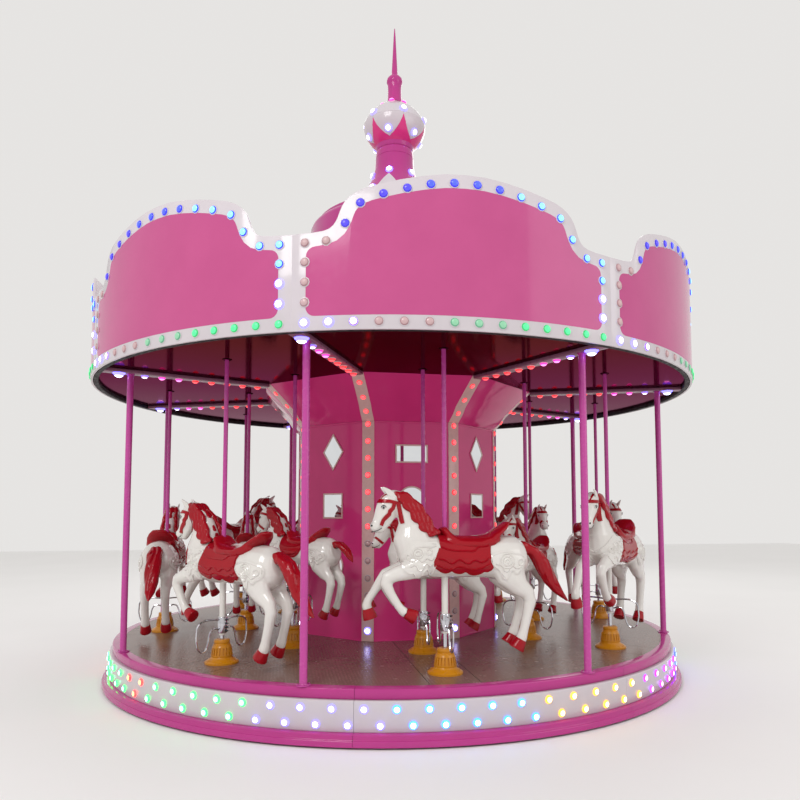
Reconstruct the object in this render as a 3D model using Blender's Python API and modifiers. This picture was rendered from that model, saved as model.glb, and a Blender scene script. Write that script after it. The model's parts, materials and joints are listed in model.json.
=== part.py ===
"""Fairground carousel with sixteen horses in two rings, at real size.

Metres, +Z up. The origin is on the ground at the centre of the ride.
The ride has eight equal sectors. Sector 0 faces -Y, and the others follow
every 45 degrees, anticlockwise seen from above. The horses gallop clockwise.
"""
import math

import bmesh
import bpy
from mathutils import Matrix, Vector

# Driving dimensions
SECTORS = 8
SECTOR_ANGLE = 2 * math.pi / SECTORS
SEAT_GAP = 0.0003
DECK_TOP = 0.327
DECK_THICKNESS = 0.030
DECK_RADIUS = 2.330
DECK_FRAME_RADIUS = 2.385
SKIRT_CLEARANCE = 0.012
BEARING_TOP = 0.100
HEADROOM = 2.113
CANOPY_RADIUS = 2.626
LAMP_REACH = 0.020
TOTAL_HEIGHT = 6.125
POST_RING = 2.372
POST_RADIUS = 0.024
COLUMN_RADIUS = 0.937
HEAD_RADIUS = 1.270
STRIP_WIDTH = 0.100
OUTER_RING = 2.035
INNER_RING = 1.344
INNER_SCALE = 0.80

# How far each horse stands from the middle of its stroke, by sector
OUTER_LIFT = (0.012, 0.016, -0.040, 0.050, -0.015, 0.040, -0.068, -0.053)
INNER_LIFT = (-0.066, -0.058, 0.035, -0.025, 0.055, -0.045, -0.030, 0.030)

# Levels worked out from the driving dimensions
CEILING_UNDERSIDE = DECK_TOP + HEADROOM
RIB_UNDERSIDE = CEILING_UNDERSIDE - 0.027
CEILING_TOP = CEILING_UNDERSIDE + 0.015
HEAD_FOOT = 2.100
POST_FLANGE_RADIUS = 0.046
POST_FLANGE_THICKNESS = 0.008

# A rounding board's top edge, as its share of the half width and its height
BOARD_THICKNESS = 0.020
BOARD_CREST = ((0.0, 3.347), (0.12, 3.343), (0.25, 3.325), (0.38, 3.300), (0.49, 3.274),
               (0.56, 3.256), (0.63, 3.228), (0.68, 3.194), (0.715, 3.145), (0.735, 3.090),
               (0.755, 3.040), (0.80, 3.006), (0.87, 2.994), (1.0, 2.990))

# The ground frame
PEDESTAL_RADIUS = 0.420
PEDESTAL_TOP_RADIUS = 0.360
PEDESTAL_STEP = 0.060
GROUND_RING = 2.050
BEAM_WIDTH = 0.080
BEAM_HEIGHT = 0.080

# The floor
DECK_LIP = 0.005
DECK_FRAME_DEPTH = 0.025
DECK_FRAME_WIDTH = 0.060
HUB_RADIUS = 0.350

# The skirt's rim, lamp band and foot moulding, by outer radius and height
SKIRT_FACE = ((2.402, DECK_TOP), (2.408, 0.319), (2.408, 0.268), (2.430, 0.262), (2.430, 0.082),
              (2.464, 0.078), (2.464, 0.048), (2.480, 0.044), (2.480, SKIRT_CLEARANCE))
SKIRT_BACK = 2.418
SKIRT_LEDGE = 0.262

# The ceiling, its ribs and the ring at the eaves
EAVES_OUTER = CANOPY_RADIUS - 0.0208
EAVES_INNER = CANOPY_RADIUS - 0.056
EAVES_DROP = 0.004
RIB_INNER = HEAD_RADIUS + 0.0005
RIB_OUTER = CANOPY_RADIUS - 0.040
POLE_HOLE_RADIUS = 0.026

# The flared head, by radius and height
HEAD_STEP = (1.037, 2.220)

# The roof's shell, by radius and height, and the tiers that stand on it
ROOF_WALL = 0.020
ROOF_TOP = 4.070
TOWER_TOP = 4.848
ONION_TOP = 5.342
ROOF_FACE = ((0.0, ROOF_TOP), (0.740, ROOF_TOP), (0.800, 4.010), (0.800, 3.500), (2.580, 2.800))
ROOF_BACK = ((0.780, 3.486), (0.780, 4.000), (0.730, 4.050), (0.0, 4.050))
ROOF_EAVES = 2.786
TOWER_FACE = ((0.0, TOWER_TOP), (0.178, TOWER_TOP), (0.190, 4.700), (0.212, 4.580), (0.258, 4.485),
              (0.345, 4.330), (0.538, 4.188), (0.732, 4.100))
TOWER_FOOT_RADIUS = 0.738
ONION_FACE = ((0.0, ONION_TOP), (0.072, ONION_TOP), (0.110, 5.310), (0.215, 5.240), (0.285, 5.160),
              (0.302, 5.093), (0.285, 5.020), (0.225, 4.930), (0.161, 4.880))
ONION_FOOT_RADIUS = 0.161
SPIRE_FACE = ((0.0, TOTAL_HEIGHT), (0.028, 5.690), (0.034, 5.672), (0.060, 5.655), (0.078, 5.618),
              (0.078, 5.600), (0.068, 5.570), (0.066, 5.480))
SPIRE_FOOT_RADIUS = 0.072

# Turned shapes are cut with a side for each of these steps
FINE_STEPS = 64
ROUND_STEPS = 40
ROOF_STEPS = 24
SMALL_STEPS = 14
ROD_STEPS = 8


def clear_scene():
    """Remove every object of the starting scene."""
    for thing in list(bpy.data.objects):
        bpy.data.objects.remove(thing, do_unlink=True)


def new_collection(name):
    """Add a collection to the scene and return it."""
    collection = bpy.data.collections.new(name)
    bpy.context.scene.collection.children.link(collection)
    return collection


def new_material(name, colour, roughness, metallic=0.0):
    """Make a Principled material of one colour."""
    material = bpy.data.materials.new(name)
    material.use_nodes = True
    shader = material.node_tree.nodes["Principled BSDF"]
    shader.inputs["Base Color"].default_value = (*colour, 1.0)
    shader.inputs["Roughness"].default_value = roughness
    shader.inputs["Metallic"].default_value = metallic
    return material


clear_scene()
PARTS = new_collection("fairground_carousel")
CUTTERS = new_collection("cutters")
PINK = new_material("pink_gelcoat", (0.62, 0.07, 0.30), 0.20)
MAGENTA = new_material("magenta_panel", (0.40, 0.03, 0.17), 0.12)
WHITE = new_material("white_gelcoat", (0.86, 0.82, 0.80), 0.18)
TREAD = new_material("tread_plate", (0.24, 0.17, 0.15), 0.45, 0.4)
STEEL = new_material("galvanised_steel", (0.45, 0.46, 0.47), 0.50, 0.9)


def add_object(name, mesh, material, collection=PARTS):
    """Put a mesh in a collection under its node's name."""
    mesh.materials.clear()
    mesh.materials.append(material)
    thing = bpy.data.objects.new(name, mesh)
    collection.objects.link(thing)
    return thing


def add_cutter(name, mesh):
    """Put a mesh with the cutters, hidden from renders."""
    thing = add_object(name, mesh, STEEL, CUTTERS)
    thing.hide_render = True
    thing.display_type = "WIRE"
    return thing


def mesh_from(name, work):
    """Write a bmesh to a new mesh and free it."""
    bmesh.ops.recalc_face_normals(work, faces=work.faces)
    mesh = bpy.data.meshes.new(name)
    work.to_mesh(mesh)
    work.free()
    return mesh


def turned_mesh(name, profile, steps, start=0.0):
    """Turn a profile of (radius, height) points about Z with a Screw modifier.

    A profile that starts and ends on the axis makes a solid, and one whose
    last point is its first makes a ring.
    """
    closed = profile[0] == profile[-1]
    points = profile[:-1] if closed else profile
    outline = bpy.data.meshes.new(name)
    edges = [(i, i + 1) for i in range(len(points) - 1)]
    if closed:
        edges.append((len(points) - 1, 0))
    outline.from_pydata([(r, 0.0, z) for r, z in points], edges, [])
    thing = bpy.data.objects.new(name, outline)
    CUTTERS.objects.link(thing)
    screw = thing.modifiers.new("turn", "SCREW")
    screw.steps = steps
    screw.render_steps = steps
    screw.use_merge_vertices = True
    screw.merge_threshold = 0.0001
    mesh = evaluated_mesh(thing, name)
    mesh.transform(Matrix.Rotation(start, 4, "Z"))
    return mesh


def evaluated_mesh(thing, name):
    """Return the finished mesh of an object in world space and remove the object."""
    graph = bpy.context.evaluated_depsgraph_get()
    graph.update()
    mesh = bpy.data.meshes.new_from_object(thing.evaluated_get(graph))
    mesh.transform(thing.matrix_world)
    mesh.name = name
    bpy.data.objects.remove(thing, do_unlink=True)
    work = bmesh.new()
    work.from_mesh(mesh)
    bmesh.ops.remove_doubles(work, verts=work.verts, dist=0.000005)
    bmesh.ops.recalc_face_normals(work, faces=work.faces)
    work.to_mesh(mesh)
    work.free()
    return mesh


def gathered(name, meshes):
    """Put meshes that don't touch each other into one mesh."""
    work = bmesh.new()
    for mesh in meshes:
        work.from_mesh(mesh)
    return mesh_from(name, work)


def combined(name, base, others, operation="UNION"):
    """Join meshes to, or cut them from, a first mesh and return the result."""
    thing = add_cutter(name, base)
    for index, other in enumerate(others):
        tool = add_cutter(f"{name}_tool_{index}", other)
        step = thing.modifiers.new(f"step_{index}", "BOOLEAN")
        step.operation = operation
        step.object = tool
    result = evaluated_mesh(thing, name)
    for tool in [thing for thing in CUTTERS.objects if thing.name.startswith(f"{name}_tool_")]:
        bpy.data.objects.remove(tool, do_unlink=True)
    return result


def simplified(mesh, ratio):
    """Collapse a mesh's shortest edges until this share of its triangles is left."""
    thing = add_cutter(mesh.name, mesh)
    collapse = thing.modifiers.new("simplify", "DECIMATE")
    collapse.ratio = ratio
    return evaluated_mesh(thing, mesh.name)


def box_mesh(name, size, centre):
    """Make a box of the given size about a centre."""
    work = bmesh.new()
    bmesh.ops.create_cube(work, size=1.0)
    bmesh.ops.scale(work, vec=size, verts=work.verts)
    bmesh.ops.translate(work, vec=centre, verts=work.verts)
    return mesh_from(name, work)


def turned_copy(mesh, angle):
    """Copy a mesh turned about the ride's axis."""
    copy = mesh.copy()
    copy.transform(Matrix.Rotation(angle, 4, "Z"))
    return copy


def loft(name, rings):
    """Skin a row of like-sided rings and close both ends."""
    work = bmesh.new()
    loops = [[work.verts.new(point) for point in ring] for ring in rings]
    for lower, upper in zip(loops, loops[1:]):
        count = len(lower)
        for i in range(count):
            j = (i + 1) % count
            work.faces.new((lower[i], lower[j], upper[j], upper[i]))
    work.faces.new(loops[0])
    work.faces.new(reversed(loops[-1]))
    bmesh.ops.triangulate(work, faces=work.faces)
    return mesh_from(name, work)


def limb(name, side, stations, sides, turn=0.5):
    """Loft a limb through stations of (forward, height, thickness, width).

    Each section is an ellipse square to the limb's own path, and side is
    where the path lies across the horse.
    """
    centres = [Vector((-x, side, z)) for x, z, _, _ in stations]
    rings = []
    for index, (_, _, thickness, width) in enumerate(stations):
        before = centres[max(index - 1, 0)]
        after = centres[min(index + 1, len(centres) - 1)]
        along = (after - before).normalized()
        across = Vector((0.0, 1.0, 0.0))
        upward = along.cross(across).normalized()
        ring = []
        for corner in range(sides):
            angle = 2 * math.pi * (corner + turn) / sides
            ring.append(centres[index] + upward * (thickness * math.cos(angle))
                        + across * (width * math.sin(angle)))
        rings.append(ring)
    return loft(name, rings)


# Stations of the horse, from the lower end of its tube: forward, up, half thickness, half width
TRUNK = ((-0.565, 0.480, 0.050, 0.045), (-0.520, 0.475, 0.130, 0.105),
         (-0.420, 0.478, 0.152, 0.142), (-0.270, 0.490, 0.128, 0.135),
         (-0.050, 0.495, 0.130, 0.138), (0.120, 0.515, 0.150, 0.135),
         (0.205, 0.600, 0.150, 0.110), (0.205, 0.710, 0.115, 0.075),
         (0.245, 0.820, 0.085, 0.058), (0.300, 0.905, 0.050, 0.040))
HEAD = ((0.285, 0.905, 0.055, 0.045), (0.335, 0.860, 0.085, 0.058), (0.385, 0.790, 0.060, 0.045),
        (0.435, 0.715, 0.040, 0.036))
FORE_FOLDED = ((0.150, 0.450, 0.080, 0.060), (0.240, 0.405, 0.060, 0.045),
               (0.355, 0.352, 0.040, 0.036), (0.255, 0.165, 0.028, 0.028),
               (0.185, 0.122, 0.036, 0.036))
FORE_RAISED = ((0.150, 0.460, 0.080, 0.060), (0.240, 0.415, 0.060, 0.045),
               (0.375, 0.375, 0.042, 0.036), (0.505, 0.215, 0.028, 0.028),
               (0.495, 0.120, 0.038, 0.036))
HIND_LOW = ((-0.400, 0.460, 0.130, 0.070), (-0.430, 0.330, 0.085, 0.058),
            (-0.585, 0.240, 0.045, 0.038), (-0.548, -0.005, 0.030, 0.030),
            (-0.500, -0.070, 0.040, 0.038))
HIND_HIGH = ((-0.390, 0.460, 0.130, 0.070), (-0.400, 0.340, 0.085, 0.058),
             (-0.545, 0.225, 0.045, 0.038), (-0.485, 0.030, 0.030, 0.030),
             (-0.440, -0.035, 0.040, 0.038))
OUTER_TAIL = ((-0.520, 0.560, 0.040, 0.035), (-0.620, 0.530, 0.050, 0.035),
              (-0.715, 0.390, 0.052, 0.034), (-0.790, 0.260, 0.036, 0.026),
              (-0.845, 0.195, 0.010, 0.010))
INNER_TAIL = ((-0.520, 0.560, 0.040, 0.035), (-0.600, 0.560, 0.050, 0.035),
              (-0.690, 0.510, 0.048, 0.034), (-0.745, 0.430, 0.012, 0.012))
SADDLE = ((0.035, 0.640, 0.040, 0.100), (-0.040, 0.610, 0.035, 0.120),
          (-0.230, 0.610, 0.035, 0.125), (-0.340, 0.640, 0.035, 0.110),
          (-0.430, 0.705, 0.020, 0.080))
LEG_SIDE = 0.078
BELLY = 0.365
HORSE_DETAIL = 0.62

# The pole, from the lower end of its white tube
TUBE_RADIUS = 0.022
TUBE_TOP = 0.430
POLE_RADIUS = 0.0155
POLE_TOP = 2.080
ROD_RADIUS = 0.0140
ROD_FOOT = -0.220
MIDDLE_LIFT = 0.240
FOOTREST_ROD = 0.006
FOOTREST_ROUTE = ((0.010, 0.105), (0.165, 0.112), (0.215, 0.075), (0.222, -0.020), (0.185, -0.088),
                  (0.135, -0.080), (0.108, 0.010), (0.075, 0.050), (0.010, 0.035))
CLAMP_RADIUS = 0.032
CLAMP_TOP = 0.125
CLAMP_FOOT = 0.015

# The pot that guides the pole's rod, by radius and height above the floor
POT_HEIGHT = 0.160
POT_FACE = ((0.0, POT_HEIGHT), (0.060, POT_HEIGHT), (0.064, 0.122), (0.074, 0.040), (0.115, 0.014))
POT_BORE = ROD_RADIUS + 0.0005


def pole_profile(extra=0.0):
    """Radii and heights of the pole, grown all round by a clearance."""
    return [(0.0, POLE_TOP + extra), (POLE_RADIUS + extra, POLE_TOP + extra),
            (POLE_RADIUS + extra, TUBE_TOP + extra), (TUBE_RADIUS + extra, TUBE_TOP + extra),
            (TUBE_RADIUS + extra, -extra), (ROD_RADIUS + extra, -extra),
            (ROD_RADIUS + extra, ROD_FOOT - extra), (0.0, ROD_FOOT - extra)]


def horse_mesh(name, size, tail):
    """Join the horse's trunk, head, limbs, tail and saddle, and bore it for its pole."""
    pieces = [limb(f"{name}_head", 0.0, HEAD, 6),
              limb(f"{name}_fore_folded", -LEG_SIDE, FORE_FOLDED, 4),
              limb(f"{name}_fore_raised", LEG_SIDE, FORE_RAISED, 4),
              limb(f"{name}_hind_low", -LEG_SIDE, HIND_LOW, 4),
              limb(f"{name}_hind_high", LEG_SIDE, HIND_HIGH, 4),
              limb(f"{name}_tail", 0.0, tail, 4),
              limb(f"{name}_saddle", 0.0, SADDLE, 4)]
    trunk = limb(f"{name}_trunk", 0.0, TRUNK, 8)
    body = simplified(combined(f"{name}_body", trunk, pieces), HORSE_DETAIL)
    to_belly = Matrix.Translation((0, 0, BELLY))
    body.transform(to_belly @ Matrix.Diagonal((size, size, size, 1)) @ to_belly.inverted())
    bore = turned_mesh(f"{name}_bore", pole_profile(SEAT_GAP), ROD_STEPS)
    return combined(name, body, [bore], "DIFFERENCE")


def footrest_mesh(name):
    """Bend the footrest's two closed loops and join them to their clamp."""
    loops = []
    for side in (-1, 1):
        curve = bpy.data.curves.new(f"{name}_rod", "CURVE")
        curve.dimensions = "3D"
        curve.bevel_depth = FOOTREST_ROD
        curve.bevel_resolution = 0
        curve.use_fill_caps = True
        spline = curve.splines.new("POLY")
        spline.points.add(len(FOOTREST_ROUTE) - 1)
        for point, (reach, height) in zip(spline.points, FOOTREST_ROUTE):
            point.co = (0.0, side * reach, height, 1.0)
        thing = bpy.data.objects.new(f"{name}_rod", curve)
        CUTTERS.objects.link(thing)
        loops.append(evaluated_mesh(thing, f"{name}_rod_{side}"))
    clamp = turned_mesh(f"{name}_clamp", [(0.0, CLAMP_TOP), (CLAMP_RADIUS, CLAMP_TOP),
                                          (CLAMP_RADIUS, CLAMP_FOOT), (0.0, CLAMP_FOOT)], 6)
    return combined(name, clamp, loops)


def pole_mesh(name):
    """Join the pole, tube and rod with the footrest."""
    pole = turned_mesh(f"{name}_shaft", pole_profile(), ROD_STEPS)
    return combined(name, pole, [footrest_mesh(f"{name}_footrest")])


def horse_places():
    """List each horse's ring, sector, radius, angle and height above the ground."""
    places = []
    for ring, radius, lifts in (("outer", OUTER_RING, OUTER_LIFT), ("inner", INNER_RING, INNER_LIFT)):
        for sector, lift in enumerate(lifts):
            height = DECK_TOP + MIDDLE_LIFT + lift
            places.append((ring, sector, radius, sector * SECTOR_ANGLE, height))
    return places


def build_horses(turntable):
    """Place the sixteen horses and their poles, each on its own sliding axis."""
    meshes = {"outer": horse_mesh("outer_horse", 1.0, OUTER_TAIL),
              "inner": horse_mesh("inner_horse", INNER_SCALE, INNER_TAIL)}
    pole = pole_mesh("pole")
    for ring, sector, radius, angle, height in horse_places():
        slider = bpy.data.objects.new(f"slider_{ring}_{sector}", None)
        PARTS.objects.link(slider)
        slider.parent = turntable
        slider.location = (radius * math.sin(angle), -radius * math.cos(angle), height)
        slider.rotation_euler.z = angle
        horse = add_object(f"horse_{ring}_{sector}", meshes[ring].copy(), WHITE)
        horse.parent = slider
        rod = add_object(f"pole_{ring}_{sector}", pole.copy(), PINK)
        rod.parent = slider


def build_base():
    """Build the ground frame: a bearing pedestal, four crossed beams and the ring they carry."""
    half = BEAM_WIDTH / 2
    inner = (PEDESTAL_RADIUS + PEDESTAL_TOP_RADIUS) / 2 - 0.010
    pedestal = turned_mesh("pedestal", [(0.0, BEARING_TOP), (PEDESTAL_TOP_RADIUS, BEARING_TOP),
                                        (PEDESTAL_RADIUS, PEDESTAL_STEP), (PEDESTAL_RADIUS, 0.0),
                                        (0.0, 0.0)], ROUND_STEPS // 2)
    ring = turned_mesh("ground_ring", [(GROUND_RING + half, BEAM_HEIGHT), (GROUND_RING + half, 0.0),
                                       (GROUND_RING - half, 0.0), (GROUND_RING - half, BEAM_HEIGHT),
                                       (GROUND_RING + half, BEAM_HEIGHT)], ROUND_STEPS)
    tools = [ring]
    for quarter in range(4):
        beam = box_mesh(f"beam_{quarter}", (BEAM_WIDTH, GROUND_RING - inner, BEAM_HEIGHT - 0.002),
                        (0.0, -(GROUND_RING + inner) / 2, BEAM_HEIGHT / 2))
        tools.append(turned_copy(beam, (quarter + 0.5) * math.pi / 2))
    return add_object("base_frame", combined("base_frame", pedestal, tools), STEEL)


def pot_mesh():
    """Turn one guide pot, sunk a little into the floor that it is welded to."""
    outline = [*POT_FACE, (POT_FACE[-1][0], -DECK_LIP), (0.0, -DECK_LIP)]
    mesh = turned_mesh("pot", outline, 10)
    mesh.transform(Matrix.Translation((0, 0, DECK_TOP)))
    return mesh


def build_deck(turntable):
    """Build the revolving floor with its sixteen guide pots and its bearing hub."""
    hub_foot = BEARING_TOP + SEAT_GAP
    underside = DECK_TOP - DECK_THICKNESS
    lip = DECK_TOP - DECK_LIP
    frame_foot = underside - DECK_FRAME_DEPTH
    frame_inner = DECK_FRAME_RADIUS - DECK_FRAME_WIDTH
    floor = turned_mesh("floor", [(0.0, DECK_TOP), (DECK_RADIUS, DECK_TOP), (DECK_RADIUS, lip),
                                  (DECK_FRAME_RADIUS, lip), (DECK_FRAME_RADIUS, frame_foot),
                                  (frame_inner, frame_foot), (frame_inner, underside),
                                  (HUB_RADIUS, underside), (HUB_RADIUS, hub_foot),
                                  (0.0, hub_foot)], ROUND_STEPS)
    pot = pot_mesh()
    bore_top = DECK_TOP + 2 * POT_HEIGHT
    bore_foot = DECK_TOP - POT_HEIGHT
    bore = turned_mesh("pot_bore", [(0.0, bore_top), (POT_BORE, bore_top), (POT_BORE, bore_foot),
                                    (0.0, bore_foot)], ROD_STEPS)
    pots = []
    bores = []
    for _, _, radius, angle, _ in horse_places():
        place = Matrix.Rotation(angle, 4, "Z") @ Matrix.Translation((0.0, -radius, 0.0))
        for shape, group in ((pot, pots), (bore, bores)):
            copy = shape.copy()
            copy.transform(place)
            group.append(copy)
    solid = combined("deck_solid", floor, [gathered("pots", pots)])
    deck = add_object("deck", combined("deck", solid, [gathered("bores", bores)], "DIFFERENCE"), TREAD)
    deck.parent = turntable


def build_skirt(turntable):
    """Build the moulded skirt: pink rim, white lamp band and stepped foot moulding."""
    lip = DECK_TOP - DECK_LIP + SEAT_GAP
    seat = DECK_RADIUS + SEAT_GAP
    frame_seat = DECK_FRAME_RADIUS + SEAT_GAP
    outline = [(seat, DECK_TOP), *SKIRT_FACE, (SKIRT_BACK, SKIRT_CLEARANCE),
               (SKIRT_BACK, SKIRT_LEDGE - 0.007), (frame_seat, SKIRT_LEDGE), (frame_seat, lip),
               (seat, lip), (seat, DECK_TOP)]
    skirt = add_object("skirt", turned_mesh("skirt", outline, ROUND_STEPS), PINK)
    skirt.parent = turntable


def build_posts(turntable):
    """Stand a flanged tube on the rim at each sector's corner."""
    foot = DECK_TOP + SEAT_GAP
    top = RIB_UNDERSIDE
    flange = foot + POST_FLANGE_THICKNESS
    outline = [(0.0, top), (POST_RADIUS, top), (POST_RADIUS, flange), (POST_FLANGE_RADIUS, flange),
               (POST_FLANGE_RADIUS, foot), (0.0, foot)]
    mesh = turned_mesh("post", outline, ROD_STEPS)
    for sector in range(SECTORS):
        angle = (sector - 0.5) * SECTOR_ANGLE
        post = add_object(f"post_{sector}", mesh.copy(), PINK)
        post.parent = turntable
        post.location = (POST_RING * math.sin(angle), -POST_RING * math.cos(angle), 0.0)
        post.rotation_euler.z = angle


def column_ring(radius, height):
    """Return the column's section: an octagon whose corners are cut flat for the lamp strips."""
    ring = []
    for corner in range(SECTORS):
        angle = (corner - 0.5) * SECTOR_ANGLE
        turn = Matrix.Rotation(angle, 3, "Z")
        ring.append(turn @ Vector((-STRIP_WIDTH / 2, -radius, 0)) + Vector((0, 0, height)))
        ring.append(turn @ Vector((STRIP_WIDTH / 2, -radius, 0)) + Vector((0, 0, height)))
    return ring


def build_column(turntable):
    """Build the centre housing and the flared head that carries the ceiling."""
    shaft = loft("column", [column_ring(COLUMN_RADIUS, DECK_TOP + SEAT_GAP),
                            column_ring(COLUMN_RADIUS, HEAD_FOOT)])
    flare = [column_ring(COLUMN_RADIUS, HEAD_FOOT + SEAT_GAP),
             column_ring(*HEAD_STEP),
             column_ring(HEAD_RADIUS, CEILING_UNDERSIDE - SEAT_GAP)]
    for name, mesh in (("column", shaft), ("column_head", loft("column_head", flare))):
        add_object(name, mesh, MAGENTA).parent = turntable


def build_canopy_frame(turntable):
    """Build the ceiling's eight radial lamp ribs, joined by the ring at the eaves."""
    low = RIB_UNDERSIDE + SEAT_GAP
    high = CEILING_UNDERSIDE - SEAT_GAP
    ring = turned_mesh("eaves_ring", [(EAVES_OUTER, high), (EAVES_OUTER, low - EAVES_DROP),
                                      (EAVES_INNER, low - EAVES_DROP), (EAVES_INNER, high),
                                      (EAVES_OUTER, high)], FINE_STEPS)
    ribs = []
    for sector in range(SECTORS):
        rib = box_mesh(f"rib_{sector}", (STRIP_WIDTH, RIB_OUTER - RIB_INNER, high - low - 0.0004),
                       (0.0, -(RIB_OUTER + RIB_INNER) / 2, (high + low) / 2))
        ribs.append(turned_copy(rib, (sector + 0.5) * SECTOR_ANGLE))
    add_object("canopy_frame", combined("canopy_frame", ring, ribs), PINK).parent = turntable


def build_ceiling(turntable):
    """Build the flat glossy ceiling, with a hole for each horse's pole."""
    plate = turned_mesh("ceiling_plate", [(0.0, CEILING_TOP), (EAVES_OUTER, CEILING_TOP),
                                          (EAVES_OUTER, CEILING_UNDERSIDE), (0.0, CEILING_UNDERSIDE)],
                        FINE_STEPS, math.pi / FINE_STEPS)
    top = CEILING_TOP + 0.1
    foot = CEILING_UNDERSIDE - 0.1
    hole = turned_mesh("pole_hole", [(0.0, top), (POLE_HOLE_RADIUS, top), (POLE_HOLE_RADIUS, foot),
                                     (0.0, foot)], ROD_STEPS)
    holes = []
    for _, _, radius, angle, _ in horse_places():
        copy = hole.copy()
        copy.transform(Matrix.Rotation(angle, 4, "Z") @ Matrix.Translation((0.0, -radius, 0.0)))
        holes.append(copy)
    bored = combined("ceiling", plate, [gathered("holes", holes)], "DIFFERENCE")
    add_object("ceiling", bored, MAGENTA).parent = turntable


def build_boards(turntable):
    """Build the eight curved rounding boards with their arched tops, as deep as their lamps."""
    foot = RIB_UNDERSIDE - 0.003
    inner_radius = CANOPY_RADIUS - BOARD_THICKNESS
    half = SECTOR_ANGLE / 2 - SEAT_GAP / (2 * CANOPY_RADIUS)
    left_half = [(-share, top) for share, top in reversed(BOARD_CREST[1:])]
    for sector in range(SECTORS):
        name = f"rounding_board_{sector}"
        rings = []
        for share, top in left_half + list(BOARD_CREST):
            angle = sector * SECTOR_ANGLE + share * half
            outward = Vector((math.sin(angle), -math.cos(angle), 0.0))
            outer = outward * (CANOPY_RADIUS + LAMP_REACH)
            inner = outward * inner_radius
            rings.append([outer + Vector((0, 0, foot)), outer + Vector((0, 0, top)),
                          inner + Vector((0, 0, top)), inner + Vector((0, 0, foot))])
        add_object(name, loft(name, rings), WHITE).parent = turntable


def build_roof(turntable):
    """Build the hollow roof: eaves wall, cone and the drum that carries the tower."""
    eaves = ROOF_FACE[-1][0]
    foot = CEILING_TOP + SEAT_GAP
    outline = [*ROOF_FACE, (eaves, foot), (eaves - ROOF_WALL, foot), (eaves - ROOF_WALL, ROOF_EAVES),
               *ROOF_BACK]
    add_object("roof", turned_mesh("roof", outline, ROOF_STEPS), PINK).parent = turntable


def build_tower(turntable):
    """Build the bell-footed tower, the onion lantern and the spire, each seated on the last."""
    tiers = (("tower", TOWER_FACE, TOWER_FOOT_RADIUS, ROOF_TOP, PINK),
             ("onion", ONION_FACE, ONION_FOOT_RADIUS, TOWER_TOP, WHITE),
             ("spire", SPIRE_FACE, SPIRE_FOOT_RADIUS, ONION_TOP, PINK))
    for name, face, foot_radius, seat, material in tiers:
        foot = seat + SEAT_GAP
        outline = [*face, (foot_radius, foot), (0.0, foot)]
        add_object(name, turned_mesh(name, outline, SMALL_STEPS), material).parent = turntable


def main():
    """Build the fixed base, then everything that turns on it."""
    build_base()
    turntable = bpy.data.objects.new("turntable_axis", None)
    PARTS.objects.link(turntable)
    build_deck(turntable)
    build_skirt(turntable)
    build_posts(turntable)
    build_column(turntable)
    build_canopy_frame(turntable)
    build_ceiling(turntable)
    build_boards(turntable)
    build_roof(turntable)
    build_tower(turntable)
    build_horses(turntable)


main()
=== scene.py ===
"""Looks of a fairground carousel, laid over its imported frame.

Metres, +Z up, the origin on the ground at the centre of the ride. Sector 0 faces -Y and the
others follow every 45 degrees, anticlockwise seen from above.
"""

import json
import logging
import math
from contextlib import contextmanager
from dataclasses import dataclass
from enum import Enum
from typing import Any, Callable, Iterator, Sequence

import bmesh
import bpy
from mathutils import Matrix, Vector

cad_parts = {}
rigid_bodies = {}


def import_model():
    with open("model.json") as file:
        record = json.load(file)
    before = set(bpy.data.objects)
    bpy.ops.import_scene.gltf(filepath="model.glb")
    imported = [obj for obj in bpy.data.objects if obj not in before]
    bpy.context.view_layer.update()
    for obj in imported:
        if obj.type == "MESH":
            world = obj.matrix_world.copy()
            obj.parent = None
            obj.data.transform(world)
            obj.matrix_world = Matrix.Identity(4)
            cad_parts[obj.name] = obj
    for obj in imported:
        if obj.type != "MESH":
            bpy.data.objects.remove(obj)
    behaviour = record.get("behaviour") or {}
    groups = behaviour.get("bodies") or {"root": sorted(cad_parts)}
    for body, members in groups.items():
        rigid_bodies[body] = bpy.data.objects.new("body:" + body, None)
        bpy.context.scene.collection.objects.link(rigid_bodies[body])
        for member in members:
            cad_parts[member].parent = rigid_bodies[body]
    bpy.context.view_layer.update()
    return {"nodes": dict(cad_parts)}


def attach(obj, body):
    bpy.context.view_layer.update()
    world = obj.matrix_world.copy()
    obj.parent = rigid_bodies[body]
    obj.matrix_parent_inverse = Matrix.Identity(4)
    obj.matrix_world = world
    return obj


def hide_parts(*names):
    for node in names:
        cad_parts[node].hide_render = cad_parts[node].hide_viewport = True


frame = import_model()
LOG = logging.getLogger("carousel")

Piece = bpy.types.Object
Point = Sequence[float]
Socket = bpy.types.NodeSocket
SECTORS = 8
SECTOR_ANGLE = 2 * math.pi / SECTORS
DECK_TOP = 0.327
CEILING = 2.440
RIB_UNDERSIDE = 2.413
CLEAR = 0.0004
SMOOTH_ANGLE = math.radians(35)


# Bench tools

def mm(*rows: Point) -> list[Point]:
    """Turn rows of millimetres into metres."""
    return [tuple(value / 1000 for value in row) for row in rows]


def oblong(half_width: float, half_height: float) -> list[Point]:
    """List an oblong's corners, about its middle."""
    return [(-half_width, -half_height), (half_width, -half_height), (half_width, half_height),
            (-half_width, half_height)]


def circle(radius: float, steps: int, middle: Point = (0.0, 0.0)) -> list[Point]:
    """List points evenly round a circle."""
    angles = [2 * math.pi * step / steps for step in range(steps)]
    return [(middle[0] + radius * math.cos(angle), middle[1] + radius * math.sin(angle)) for angle in angles]


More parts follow.
